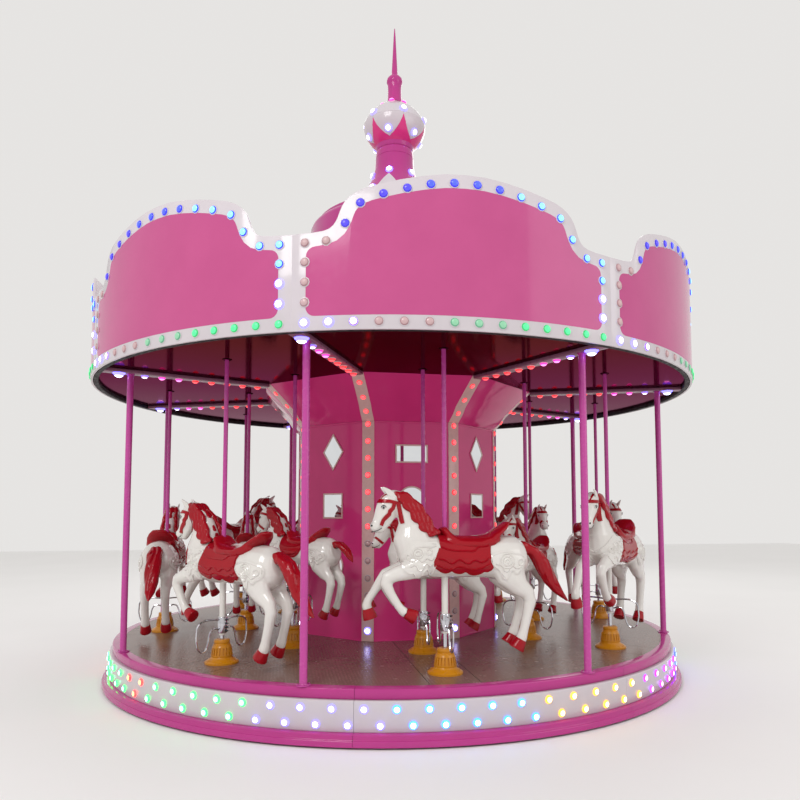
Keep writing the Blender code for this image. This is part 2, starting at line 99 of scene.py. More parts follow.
def pick(*pieces: Piece) -> None:
    """Leave only these pieces selected, the last one active."""
    bpy.ops.object.select_all(action="DESELECT")
    for piece in pieces:
        piece.select_set(True)
    bpy.context.view_layer.objects.active = pieces[-1]


@contextmanager
def editing(piece: Piece, kind: str = "FACE", whole: bool = False) -> Iterator[None]:
    """Open a piece in edit mode, with nothing or all of it selected.

    Args:
        piece: The piece to open.
        kind: What is selected: VERT, EDGE or FACE.
        whole: True to select all of it.
    """
    pick(piece)
    bpy.ops.object.mode_set(mode="EDIT")
    bpy.ops.mesh.select_mode(type=kind)
    bpy.ops.mesh.select_all(action="SELECT" if whole else "DESELECT")
    yield
    bpy.ops.object.mode_set(mode="OBJECT")


def choose(piece: Piece, test: Callable[[Vector, Vector], bool]) -> None:
    """Select, in edit mode, the faces whose middle and direction pass a test."""
    work = bmesh.from_edit_mesh(piece.data)
    bpy.ops.mesh.select_all(action="DESELECT")
    for face in work.faces:
        if test(face.calc_center_median(), face.normal):
            face.select_set(True)
    bmesh.update_edit_mesh(piece.data)


def started(name: str, shape: str, **settings: Any) -> Piece:
    """Add a primitive at its size and place, with the place kept in its mesh.

    Args:
        name: The piece's name.
        shape: The primitive, such as cube or uv_sphere.
        settings: What the primitive's operator takes.

    Returns:
        The new piece.
    """
    getattr(bpy.ops.mesh, f"primitive_{shape}_add")(**settings)
    piece = bpy.context.active_object
    piece.name = piece.data.name = name
    pick(piece)
    bpy.ops.object.transform_apply(location=True, rotation=True, scale=True)
    return piece


def modified(piece: Piece, kind: str, **settings: Any) -> Piece:
    """Put a modifier on a piece, apply it and return the piece."""
    pick(piece)
    modifier = piece.modifiers.new(kind.lower(), kind)
    for name, value in settings.items():
        setattr(modifier, name, value)
    bpy.ops.object.modifier_apply(modifier=modifier.name)
    return piece


def placed(piece: Piece, *moves: Matrix) -> Piece:
    """Move a piece's mesh by each matrix in turn and return the piece."""
    for move in moves:
        piece.data.transform(move)
    return piece


def copied(piece: Piece, name: str, *moves: Matrix) -> Piece:
    """Copy a piece with a mesh of its own and move the copy's mesh."""
    twin = piece.copy()
    twin.data = piece.data.copy()
    twin.name = twin.data.name = name
    bpy.context.scene.collection.objects.link(twin)
    return placed(twin, *moves)


def joined(name: str, pieces: Sequence[Piece]) -> Piece:
    """Join pieces into one under a name and return it."""
    pick(*pieces)
    if len(pieces) > 1:
        bpy.ops.object.join()
    piece = bpy.context.active_object
    piece.name = piece.data.name = name
    return piece


def meshed(name: str, curve: bpy.types.Curve) -> Piece:
    """Turn a drawn curve into a mesh piece."""
    piece = bpy.data.objects.new(name, curve)
    bpy.context.scene.collection.objects.link(piece)
    pick(piece)
    bpy.ops.object.convert(target="MESH")
    return bpy.context.active_object


def wire(name: str, points: Sequence[Point], closed: bool = False) -> Piece:
    """Draw a line of edges through points and return it as a mesh piece."""
    curve = bpy.data.curves.new(name, "CURVE")
    curve.dimensions = "3D"
    spline = curve.splines.new("POLY")
    spline.points.add(len(points) - 1)
    for knot, point in zip(spline.points, points):
        knot.co = (*point, 1.0)
    spline.use_cyclic_u = closed
    return meshed(name, curve)


def rod(name: str, points: Sequence[Point], radius: float, closed: bool = False,
        sides: int = 2) -> Piece:
    """Bend a round rod smoothly through points.

    Args:
        name: The piece's name.
        points: Where the rod's centre runs.
        radius: The rod's radius.
        closed: True for a loop.
        sides: The bevel resolution, from 0 up.

    Returns:
        The rod as a mesh piece.
    """
    curve = bpy.data.curves.new(name, "CURVE")
    curve.dimensions = "3D"
    curve.bevel_depth = radius
    curve.bevel_resolution = sides
    curve.resolution_u = 4
    curve.use_fill_caps = True
    spline = curve.splines.new("BEZIER")
    spline.bezier_points.add(len(points) - 1)
    for knot, point in zip(spline.bezier_points, points):
        knot.co = point
        knot.handle_left_type = knot.handle_right_type = "AUTO"
    spline.use_cyclic_u = closed
    return meshed(name, curve)


def turned(name: str, profile: Sequence[Point], steps: int, closed: bool = False) -> Piece:
    """Turn a profile of (radius, height) points about Z.

    Args:
        name: The piece's name.
        profile: Points from axis to axis, or of a closed section.
        steps: How many sides the turned shape has.
        closed: True where the last point joins the first.

    Returns:
        The turned piece.
    """
    piece = wire(name, [(r, 0.0, z) for r, z in profile], closed)
    with editing(piece, "EDGE", whole=True):
        bpy.ops.mesh.spin(steps=steps, angle=2 * math.pi, center=(0, 0, 0), axis=(0, 0, 1))
        bpy.ops.mesh.select_all(action="SELECT")
        bpy.ops.mesh.remove_doubles(threshold=0.00001)
        bpy.ops.mesh.normals_make_consistent(inside=False)
    return piece


def swept(name: str, section: Sequence[Point], start: float, arc: float, steps: int) -> Piece:
    """Sweep a closed section of (radius, height) points round part of a circle.

    Args:
        name: The piece's name.
        section: The section's corners.
        start: The angle of its first end from -Y, anticlockwise, in radians.
        arc: The angle that it covers.
        steps: How many steps the arc has.

    Returns:
        The swept piece, closed at both ends.
    """
    piece = wire(name, [(0.0, -r, z) for r, z in section], closed=True)
    with editing(piece, "EDGE", whole=True):
        bpy.ops.mesh.edge_face_add()
        bpy.ops.mesh.spin(steps=steps, angle=arc, center=(0, 0, 0), axis=(0, 0, 1))
        bpy.ops.mesh.select_all(action="SELECT")
        bpy.ops.mesh.normals_make_consistent(inside=False)
    far = max((math.atan2(v.co.x, -v.co.y) for v in piece.data.vertices), key=abs)
    return placed(piece, Matrix.Rotation(start if far > 0 else start + arc, 4, "Z"))


def plate(name: str, outline: Sequence[Point], depth: float) -> Piece:
    """Cut a plate of some depth from a closed outline in the XZ plane, centred on it."""
    piece = wire(name, [(x, -depth / 2, z) for x, z in outline], closed=True)
    with editing(piece, "EDGE", whole=True):
        bpy.ops.mesh.edge_face_add()
        bpy.ops.mesh.extrude_region_move(TRANSFORM_OT_translate={"value": (0, depth, 0)})
        bpy.ops.mesh.select_all(action="SELECT")
        bpy.ops.mesh.normals_make_consistent(inside=False)
    return piece


def at_sector(sector: float) -> Matrix:
    """Turn from sector 0 to another sector, or to a share of one."""
    return Matrix.Rotation(sector * SECTOR_ANGLE, 4, "Z")


def out_at(radius: float, height: float, angle: float = 0.0, droop: float = 0.0) -> Matrix:
    """Stand a piece that points up on a drum's side, pointing outwards, or drooping from there."""
    return (Matrix.Rotation(angle, 4, "Z") @ Matrix.Translation((0, -radius, height))
            @ Matrix.Rotation(math.pi / 2 + droop, 4, "X"))


@dataclass(frozen=True)
class Stand:
    """Where a horse stands: its ring, its sector and how far it is from the axis."""

    ring: str
    sector: int
    radius: float

    def place(self, height: float = 0.0) -> Matrix:
        """Move a piece from the axis out to the stand."""
        return at_sector(self.sector) @ Matrix.Translation((0, -self.radius, height))


def bored(piece: Piece, radius: float, height: float, stands: Sequence[Stand]) -> Piece:
    """Bore a round hole through a flat piece at each stand.

    Args:
        piece: What is bored.
        radius: The hole's radius.
        height: The height of the piece.
        stands: Where the holes go.

    Returns:
        The bored piece.
    """
    drills = [placed(started("drill", "cylinder", vertices=20, radius=radius, depth=0.1,
                             location=(0, 0, height)), stand.place()) for stand in stands]
    cutter = joined("drills", drills)
    modified(piece, "BOOLEAN", object=cutter, operation="DIFFERENCE", solver="EXACT")
    bpy.data.objects.remove(cutter)
    return piece


def hex_bolt(name: str, radius: float, depth: float, chamfer: float, **place: Any) -> Piece:
    """Make a hexagonal bolt head with chamfered edges, at a location and a rotation."""
    bolt = started(name, "cylinder", vertices=6, radius=radius, depth=depth, **place)
    with editing(bolt, whole=True):
        bpy.ops.mesh.bevel(offset=chamfer, segments=1)
    return bolt


def finished(piece: Piece, body: str, *replaced: str, slot: str = "pink_gelcoat") -> Piece:
    """Smooth a piece, let it ride on a body and name the frame's nodes that it stands for."""
    pick(piece)
    bpy.ops.object.shade_smooth_by_angle(angle=SMOOTH_ANGLE)
    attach(piece, body)
    if replaced:
        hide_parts(*replaced)
    return piece


# Finishes

def linear(code: str) -> tuple[float, float, float, float]:
    """Turn an sRGB hex colour such as C75A8A into linear light."""
    values = [int(code[i:i + 2], 16) / 255 for i in (0, 2, 4)]
    red, green, blue = [v / 12.92 if v <= 0.04045 else ((v + 0.055) / 1.055) ** 2.4 for v in values]
    return red, green, blue, 1.0


class Recipe:
    """A node material under work, with its Object coordinates."""

    def __init__(self, name: str) -> None:
        """Start the material."""
        self.material = bpy.data.materials.new(name)
        self.material.use_nodes = True
        self.place = self.node("TexCoord", {}, {}).outputs["Object"]

    def filled(self, node: bpy.types.Node, settings: dict[str | int, Any],
               links: dict[str | int, Socket]) -> bpy.types.Node:
        """Set a node's properties and unlinked sockets, link the others and return it."""
        for name, value in settings.items():
            if isinstance(name, str) and name in node.bl_rna.properties:
                setattr(node, name, value)
            else:
                node.inputs[name].default_value = value
        for name, source in links.items():
            self.material.node_tree.links.new(source, node.inputs[name])
        return node

    def node(self, kind: str, settings: dict[str | int, Any],
             links: dict[str | int, Socket]) -> bpy.types.Node:
        """Add a node.

        Args:
            kind: The node's type, such as TexNoise.
            settings: Properties by name, and unlinked sockets by name or number.
            links: The output that feeds each socket.

        Returns:
            The node.
        """
        return self.filled(self.material.node_tree.nodes.new(f"ShaderNode{kind}"), settings, links)

    def noise(self, per_metre: float, detail: float, roughness: float = 0.5,
              place: Socket | None = None) -> Socket:
        """Lay a noise with some clouds to the metre, on Object coordinates where no place is given."""
        return self.node("TexNoise", {"Scale": per_metre, "Detail": detail, "Roughness": roughness},
                         {"Vector": self.place if place is None else place}).outputs["Fac"]

    def blend(self, colour: str, shade: str, share: Socket) -> Socket:
        """Blend a colour into its shade by a share."""
        return self.node("Mix", {"data_type": "RGBA", 6: linear(colour), 7: linear(shade)},
                         {0: share}).outputs[2]

    def spread(self, share: Socket, low: float, high: float, start: float = 0.0, end: float = 1.0) -> Socket:
        """Map what runs from start to end onto the values from low to high."""
        return self.node("MapRange", {"From Min": start, "From Max": end, "To Min": low, "To Max": high},
                         {0: share}).outputs[0]

    def bump(self, height: Socket, strength: float, distance: float) -> Socket:
        """Raise a height into a bump of so many metres."""
        return self.node("Bump", {"Strength": strength, "Distance": distance}, {"Height": height}).outputs[0]

    def shaded(self, settings: dict[str | int, Any], links: dict[str | int, Socket]) -> bpy.types.Material:
        """Set the shader's own sockets, link the others and return the material."""
        self.filled(self.material.node_tree.nodes["Principled BSDF"], settings, links)
        return self.material


class Finish:
    """A finish that is made once and then shared by the pieces that carry it."""

    name: str

    def make(self) -> bpy.types.Material:
        """Build the material."""
        raise NotImplementedError

    def material(self) -> bpy.types.Material:
        """Return the material, made on first use."""
        return bpy.data.materials.get(self.name) or self.make()

    def on(self, piece: Piece) -> Piece:
        """Dress a whole piece in this finish."""
        piece.data.materials.clear()
        piece.data.materials.append(self.material())
        return piece


@dataclass(frozen=True)
class Coating(Finish):
    """A coloured coat: polished gelcoat, enamel or lacquer."""

    name: str
    colour: str
    shade: str
    roughness: float = 0.14
    coat: float = 0.6
    coat_roughness: float = 0.06
    peel_mm: float = 7.0
    peel_depth: float = 0.04
    cloud_mm: float = 260.0
    dust_mm: float = 35.0
    metallic: float = 0.0
    gleam: float = 0.35
    edge: str = "FFFFFF"

    def make(self) -> bpy.types.Material:
        """Build the coat: faint clouds of shade, fine dust in the gloss and an orange-peel bump."""
        recipe = Recipe(self.name)
        dust = recipe.noise(1000 / self.dust_mm, 6.0)
        peel = recipe.noise(1000 / self.peel_mm, 2.0)
        return recipe.shaded(
            {"Coat Weight": self.coat, "Coat Roughness": self.coat_roughness, "Metallic": self.metallic,
             "Specular IOR Level": self.gleam, "Specular Tint": linear(self.edge)},
            {"Base Color": recipe.blend(self.colour, self.shade, recipe.noise(1000 / self.cloud_mm, 4.0)),
             "Roughness": recipe.spread(dust, self.roughness * 0.75, self.roughness * 1.6, 0.3, 0.75),
             "Normal": recipe.bump(peel, self.peel_depth, 0.002)})


@dataclass(frozen=True)
class TreadPlate(Finish):
    """Rolled floor plate with a fine raised pattern, scuffed by shoes."""

    name: str = "rolled_tread_plate"
    dirt: str = "745C52"
    plain: str = "84695E"
    worn: str = "957C70"
    pitch_mm: float = 22.0

    def make(self) -> bpy.types.Material:
        """Build the plate: raised studs, worn lighter on top, with dust between them."""
        recipe = Recipe(self.name)
        cells = recipe.node("TexVoronoi", {"Scale": 1000 / self.pitch_mm, "Randomness": 0.25},
                            {"Vector": recipe.place})
        stud = recipe.spread(cells.outputs["Distance"], 1.0, 0.0, 0.15, 0.40)
        grime = recipe.noise(14.0, 6.0, roughness=0.6)
        colour = recipe.node("Mix", {"data_type": "RGBA", 7: linear(self.worn)},
                             {0: stud, 6: recipe.blend(self.dirt, self.plain, grime)})
        return recipe.shaded({"Metallic": 0.15, "Specular IOR Level": 0.35},
                             {"Base Color": colour.outputs[2], "Roughness": recipe.spread(grime, 0.22, 0.30),
                              "Normal": recipe.bump(stud, 0.35, 0.0015)})


@dataclass(frozen=True)
class Metal(Finish):
    """Bright or painted metal with fine draw marks along its length."""

    name: str
    colour: str
    shade: str
    roughness: float = 0.12
    metallic: float = 1.0
    mark_mm: float = 4.0

    def make(self) -> bpy.types.Material:
        """Build the metal: streaks stretched along Z, faint stains and small dents."""
        recipe = Recipe(self.name)
        stretch = recipe.node("Mapping", {"Scale": (1.0, 1.0, 0.12)}, {"Vector": recipe.place})
        marks = recipe.noise(1000 / self.mark_mm, 5.0, place=stretch.outputs[0])
        return recipe.shaded({"Metallic": self.metallic},
                             {"Base Color": recipe.blend(self.colour, self.shade, recipe.noise(12.0, 4.0)),
                              "Roughness": recipe.spread(marks, self.roughness * 0.6, self.roughness * 1.7),
                              "Normal": recipe.bump(marks, 0.05, 0.001)})


@dataclass(frozen=True)
class LampGlass(Finish):
    """Moulded lamp glass over a light source, lit or dark."""

    name: str
    colour: str
    power: float

    def make(self) -> bpy.types.Material:
        """Build the glass: an even glow with a little mottling and a finely ribbed gloss."""
        recipe = Recipe(self.name)
        tone = linear(self.colour)
        dim = 1 / (1 + 2 * self.power)
        mottle = recipe.node("TexNoise", {"Scale": 1000 / 14.0, "Detail": 1.0}, {"Vector": recipe.place})
        glow = recipe.node("Mix", {"data_type": "RGBA", 0: 0.06, 6: tone}, {7: mottle.outputs["Color"]})
        return recipe.shaded({"Base Color": (*(part * dim for part in tone[:3]), 1.0), "Roughness": 0.14,
                              "Emission Strength": self.power},
                             {"Emission Color": glow.outputs[2],
                              "Normal": recipe.bump(recipe.noise(1000 / 5.0, 1.0), 0.15, 0.001)})


class Glow(Enum):
    """The colours that a lamp can show: its rim, its crown and how strongly they shine."""

    UNLIT = ("B08A8E", "C8A8AA", 0.0, 0.0)
    WHITE = ("625AFF", "DCD4FF", 4.0, 7.0)
    LAVENDER = ("7A50FF", "EADCFF", 2.2, 3.6)
    VIOLET = ("2A14C8", "4A3CF0", 1.0, 1.1)
    BLUE = ("1C10D8", "3C50F4", 1.1, 1.4)
    CYAN = ("1C34F0", "70C8FF", 1.4, 2.2)
    GREEN = ("0CB05C", "48E090", 1.1, 1.2)
    PALE_GREEN = ("62B088", "8CCCA4", 0.5, 0.7)
    RED = ("F00C20", "FF4048", 1.5, 2.2)
    MAGENTA = ("E010A0", "FF78D8", 1.8, 2.6)
    YELLOW = ("F09C20", "FFF0B0", 3.2, 5.0)
    PURPLE = ("9010F0", "F0B0FF", 3.6, 5.0)
    LED_RED = ("FF1410", "FFA058", 5.0, 5.0)
    LED_GREEN = ("02D040", "80FFC8", 6.0, 6.0)
    LED_BLUE = ("0C20F8", "6C8CFF", 6.0, 6.0)
    LED_CYAN = ("0464F0", "B0F0FF", 6.0, 8.0)

    def finishes(self) -> tuple[LampGlass, LampGlass]:
        """Return the finishes of the lamp's rim and crown."""
        rim, crown, low, high = self.value
        title = f"{self.name.lower()}_lamp_glass"
        return LampGlass(f"{title}_rim", rim, low), LampGlass(f"{title}_crown", crown, high)


# Cool white moulded shell, a little dulled by dust, with wet highlights
WHITE_GELCOAT = Coating("white_gelcoat_moulded", "D2CACE", "C4BCC2", coat=0.2)
# Polished milky white of the horses, with the sharpest highlights of the ride
HORSE_GELCOAT = Coating("horse_gelcoat_polished", "E2DFDA", "D4D0CA", roughness=0.10, coat=0.7)
# Strong candy pink of the rim, the foot, the tower and the spire
PINK_GELCOAT = Coating("pink_gelcoat_moulded", "BC3C88", "AA347C", coat=0.15, gleam=0.25)
# Softer rose of the boards' bare fields, glossy like printed film
FIELD_PINK = Coating("rose_field_printed", "C2548A", "B64A80", roughness=0.12, coat=0.15, gleam=0.25)
# Deep mirror-like magenta of the centre housing, slightly wavy like rolled sheet
MAGENTA_LACQUER = Coating("magenta_lacquer_rolled", "E23E88", "D0367C", roughness=0.09, coat=0.1, gleam=0.3,
                          peel_mm=60.0, peel_depth=0.10)
# Dark wine-coloured lacquer that mirrors the lamps faintly
DEEP_MAGENTA = Coating("deep_magenta_ceiling", "602A44", "522038", roughness=0.08, coat=0.0, peel_mm=90.0,
                       peel_depth=0.06, metallic=0.9, gleam=0.05, edge="B36C8C")
# Full red of saddles, manes, tails and hooves, brushed on thick
RED_ENAMEL = Coating("red_enamel_brushed", "A81020", "8E0A18", roughness=0.11, coat=0.15, peel_mm=9.0,
                     gleam=0.2)
# Greyish pink strips that carry the column's lamps
STRIP_CREAM = Coating("cream_strip_painted", "E4C0BC", "D8B2B0", roughness=0.25, coat=0.1)
# Warm yellow cast pots, less glossy than the shells
YELLOW_ENAMEL = Coating("yellow_enamel_cast", "CE880C", "B87606", roughness=0.28, coat=0.2, peel_mm=4.0,
                        peel_depth=0.10)
# Violet-pink powder coat on posts and poles
PINK_POWDER = Coating("pink_powder_coated_tube", "C04698", "B23C8C", roughness=0.22, coat=0.3, peel_mm=3.0,
                      peel_depth=0.02)
# Dull purple-grey ribs that let their lamps stand out
RIB_PAINT = Coating("plum_painted_rib", "8C5A72", "7C4C64", roughness=0.30, coat=0.1, peel_mm=12.0)
# Black dull edging under the boards, also laid on the floor plates' side faces as painted shade in their
# seams
BLACK_RUBBER_AND_SEAM_SHADE = Coating("black_rubber_extruded", "2A2426", "1E1A1C", roughness=0.55, coat=0.0, peel_mm=2.0,
                       peel_depth=0.15)
# Wet black of eyes, nostrils and lips
EYE_GLASS = Coating("black_glass_eye", "101014", "18161A", roughness=0.04, coat=1.0)
# Brown-grey floor plate with a fine raised pattern
TREAD = TreadPlate()
# Bright chromed rods, footrests and clamps
CHROME = Metal("chromed_steel_drawn", "D8D8DC", "B8B8C0", roughness=0.08)
# Dark oiled bolts that break up the bright clamps
DARK_STEEL = Metal("oiled_steel_turned", "4A4A50", "303036", roughness=0.28)
# Flat grey paint of the hidden ground frame
STEEL_PAINT = Metal("grey_painted_steel", "6A6C70", "54565A", roughness=0.50, metallic=0.3)
# Silvered glass, nearly free of marks
MIRROR = Metal("silvered_mirror_glass", "F0F2F4", "E4E8EC", roughness=0.01, mark_mm=40.0)


class Lamp:
    """One moulded lamp, copied wherever the ride carries lamps."""

    STEPS = 10
    HALO_POWER = 3.0

    @classmethod
    def dome(cls, name: str, radius: float, height: float, glow: Glow) -> Piece:
        """Turn a lens with its collar, standing on Z; on the strongest lamps the collar glows too, a painted
        halo of the lamp's light.
        """
        lens = turned(name, [(0.0, height), (radius * 0.42, height * 0.93), (radius * 0.76, height * 0.66),
                             (radius * 0.95, height * 0.32), (radius, height * 0.10), (radius, -0.002),
                             (0.0, -0.002)], cls.STEPS)
        collar = turned(f"{name}_collar", [(radius * 1.20, -0.001), (radius * 1.16, height * 0.16),
                                           (radius * 0.99, height * 0.18), (radius * 0.99, -0.001)],
                        cls.STEPS, closed=True)
        rim, crown = glow.finishes()
        rim.on(lens)
        lens.data.materials.append(crown.material())
        for face in lens.data.polygons:
            face.material_index = int(face.center.z > height * 0.55)
        # A strong lamp's collar takes the glowing rim finish: a painted halo of its light, though the collar
        # is no lamp.
        (rim if rim.power >= cls.HALO_POWER else WHITE_GELCOAT).on(collar)
        return joined(name, [collar, lens])

    @classmethod
    def row(cls, name: str, radius: float, height: float, spots: Sequence[tuple[Matrix, Glow]]) -> Piece:
        """Set a lamp at each place, each with its glow.

        Args:
            name: The joined piece's name.
            radius: A lens's radius.
            height: How far a lens stands out.
            spots: Each lamp's place and glow.

        Returns:
            All the lamps as one piece.
        """
        patterns = {glow: cls.dome(f"{name}_{glow.name.lower()}", radius, height, glow)
                    for glow in dict.fromkeys(glow for _, glow in spots)}
        lamps = [copied(patterns[glow], f"{name}_lamp", place) for place, glow in spots]
        for pattern in patterns.values():
            bpy.data.objects.remove(pattern)
        return joined(name, lamps)

    @classmethod
    def fixed(cls, name: str, radius: float, height: float, spots: Sequence[tuple[Matrix, Glow]],
              sector: float = 0.0) -> None:
        """Make a row of lamps, turn it to its sector and let it ride on the turntable."""
        finished(placed(cls.row(name, radius, height, spots), at_sector(sector)), "turntable",
                 slot="white_gelcoat")


@dataclass
class Skirt:
    """The moulded foot of the ride, in eight segments, with two rows of lamps."""

    band_radius: float = 2.430
    seam_shift: float = math.radians(7.7)
    seam_gap: float = 0.0020
    arc_steps: int = 12
    lamp_radius: float = 0.0220
    lamp_height: float = 0.016
    first_lamp: float = 0.31
    upper_row: float = 0.216
    row_gap: float = 0.092

    RIM = mm((2331, 327), (2396, 327), (2404, 324), (2408, 316), (2408, 272), (2404, 266), (2400, 262),
             (2386, 262), (2386, 322.2), (2331, 322.2))
    BAND = mm((2400, 262), (2424, 262), (2430, 256), (2430, 88), (2426, 82), (2418, 82), (2418, 250),
              (2400, 254))
    FOOT = mm((2418, 82), (2458, 80), (2464, 74), (2464, 54), (2468, 48), (2476, 46), (2480, 40),
              (2480, 12), (2466, 12), (2418, 60))
    COLOURS = {"W": Glow.WHITE, "C": Glow.LED_CYAN, "Y": Glow.YELLOW, "P": Glow.PURPLE, "B": Glow.LED_BLUE,
               "G": Glow.LED_GREEN, "R": Glow.LED_RED}
    RUNS = (("WCCCCCYYYY", "WCCCCCYYYY"), ("YPPPPPBBBB", "YPPPPPBBBB"), ("BGGGGGRRRR", "GGGGGRRRRR"),
            ("RWWWWWCCCC", "RWWWWWCCCC"), ("CYYYYYPPPP", "CYYYYYPPPP"), ("PBBBBBRRRR", "BBBBBRRRRR"),
            ("RRRRGGGGGG", "RRRRGGGGGG"), ("RRGGGGGWWW", "RGGGGGWWWW"))

    def build(self) -> None:
        """Make the segments and their lamps."""
        arc = SECTOR_ANGLE - self.seam_gap / self.band_radius
        parts = (("rim", self.RIM, PINK_GELCOAT), ("band", self.BAND, WHITE_GELCOAT),
                 ("foot", self.FOOT, PINK_GELCOAT))
        for sector in range(SECTORS):
            start = (sector - 0.5) * SECTOR_ANGLE + self.seam_shift
            segment = joined(f"skirt_segment_{sector}", [
                finish.on(swept(f"skirt_{part}_{sector}", section, start, arc, self.arc_steps))
                for part, section, finish in parts])
            finished(segment, "turntable", *(("skirt",) if sector == 0 else ()))
            self.lamps(sector, start)

    def lamps(self, sector: int, start: float) -> None:
        """Set the segment's two staggered rows of lamps, in runs of one colour."""
        spots = []
        for row, letters in enumerate(self.RUNS[sector]):
            height = self.upper_row - self.row_gap * row
            for index, letter in enumerate(letters):
                angle = start + (index + self.first_lamp + 0.5 * row) / len(letters) * SECTOR_ANGLE
                spots.append((out_at(self.band_radius, height, angle), self.COLOURS[letter]))
        Lamp.fixed(f"skirt_lamps_{sector}", self.lamp_radius, self.lamp_height, spots)


@dataclass
class Deck:
    """The revolving floor of radial tread plates, with a guide pot for each horse's rod."""

    outer: float = 2.330
    near: float = 0.42
    rim_steps: int = 12
    plank: float = 0.160
    gap: float = 0.0040
    top: float = 0.3268
    depth: float = 0.0248
    bore: float = 0.0158
    pot_sides: int = 40
    pot_bolts: int = 6

    UNDER = mm((0, 301), (2385, 301), (2385, 272), (2325, 272), (2325, 297), (350, 297), (350, 100.3),
               (0, 100.3))
    POT = mm((15.8, 160), (46, 160), (52, 157), (54.5, 151), (54.5, 138), (52, 133), (53.5, 130), (58, 127),
             (58.5, 121), (61.5, 116), (65.5, 106), (73, 58), (74, 50), (72, 44), (75, 38), (84, 30),
             (99, 21), (110, 15), (115, 10), (115, 0), (15.8, 0))

    def build(self, stands: Sequence[Stand]) -> None:
        """Lay the plates and set a pot on each horse's stand, with a bore under it for the rod."""
        floor = []
        for sector in range(SECTORS):
            for title, side, turn in (("plank", self.plank - self.gap / 2, 0.0),
                                      ("wedge", self.plank + self.gap / 2, SECTOR_ANGLE)):
                floor.append(placed(self.sheet(f"{title}_{sector}", side, turn), at_sector(sector)))
        under = TREAD.on(turned("floor_frame", self.UNDER, 64))
        pattern = self.pot()
        for stand in stands:
            finished(copied(pattern, f"guide_pot_{stand.ring}_{stand.sector}", stand.place()), "turntable",
                     slot="tread_floor")
        bpy.data.objects.remove(pattern)
        plates = bored(joined("floor_plates", floor + [under]), self.bore, self.top, stands)
        finished(plates, "turntable", "deck", slot="tread_floor")

    def sheet(self, name: str, side: float, turn: float) -> Piece:
        """Cut one floor plate, its side faces painted black as shade that draws its seams.

        Args:
            name: The plate's name.
            side: How far its long edges stand from the middle line of their sector.
            turn: Zero for a sector's own plank, or the angle to the next sector for the wedge between them.

        Returns:
            The plate, lying at the floor's height.
        """
        end = math.asin(side / self.outer)
        first, last = (end, turn - end) if turn else (-end, end)
        angles = [first + (last - first) * step / self.rim_steps for step in range(self.rim_steps + 1)]
        rim = [(self.outer * math.sin(angle), -self.outer * math.cos(angle)) for angle in angles]
        foot = [(side, -side / math.tan(turn / 2))] if turn else [(side, -self.near), (-side, -self.near)]
        piece = placed(plate(name, rim + foot, self.depth), Matrix.Rotation(-math.pi / 2, 4, "X"),
                       Matrix.Translation((0, 0, self.top - self.depth / 2)))
        TREAD.on(piece)
        # The side faces take the black finish: painted shade in the seams between plates.
        piece.data.materials.append(BLACK_RUBBER_AND_SEAM_SHADE.material())
        for face in piece.data.polygons:
            face.material_index = int(abs(face.normal.z) < 0.5)
        return piece

    def pot(self) -> Piece:
        """Turn a pot: bolted bell flange, fluted body and a plain collar."""
        pot = turned("guide_pot", self.POT, self.pot_sides, closed=True)
        with editing(pot):
            choose(pot, self.in_flute)
            bpy.ops.mesh.inset(thickness=0.0014, depth=-0.007)
        bolts = []
        for index in range(self.pot_bolts):
            bolt = hex_bolt("pot_bolt", 0.006, 0.007, 0.001, location=(0.103, 0, 0.018))
            bolts.append(placed(bolt, Matrix.Rotation(index * math.pi / 3 + 0.3, 4, "Z")))
        pot = YELLOW_ENAMEL.on(joined("guide_pot", [*bolts, pot]))
        return placed(pot, Matrix.Translation((0, 0, DECK_TOP)))

    def in_flute(self, middle: Vector, normal: Vector) -> bool:
        """Tell whether a face of the pot lies in a flute, which is every second of its sides."""
        side = round(math.atan2(middle.y, middle.x) * (self.pot_sides / 2) / math.pi - 0.5)
        return 0.055 < middle.z < 0.110 and middle.xy.length > 0.05 and abs(normal.z) < 0.4 and side % 2 == 0


@dataclass
class Posts:
    """Eight tubes between the rim and the lamp ribs, each on a bolted flange."""

    ring: float = 2.372
    radius: float = 0.024
    bolts: int = 4

    def build(self) -> None:
        """Turn one post and stand its copies."""
        low, high, r = DECK_TOP + CLEAR, RIB_UNDERSIDE - CLEAR, self.radius
        tube = turned("post", [(0.0, low), (0.045, low), (0.046, low + 0.001), (0.046, low + 0.006),
                               (0.044, low + 0.007), (r + 0.004, low + 0.007), (r + 0.001, low + 0.010),
                               (r, low + 0.013), (r, high - 0.010), (r + 0.006, high - 0.008),
                               (r + 0.006, high), (0.0, high)], 28)
        bolts = []
        for index in range(self.bolts):
            bolt = hex_bolt("post_bolt", 0.0052, 0.006, 0.0008, location=(0.037, 0, low + 0.010))
            bolts.append(placed(bolt, Matrix.Rotation((index + 0.5) * math.pi / 2, 4, "Z")))
        pattern = PINK_POWDER.on(joined("post", [*bolts[::-1], tube]))
        for sector in range(SECTORS):
            post = copied(pattern, f"canopy_post_{sector}", Matrix.Translation((0, -self.ring, 0)),
                          at_sector(sector - 0.5))
            finished(post, "turntable", f"post_{sector}", slot="pink_paint")
        bpy.data.objects.remove(pattern)


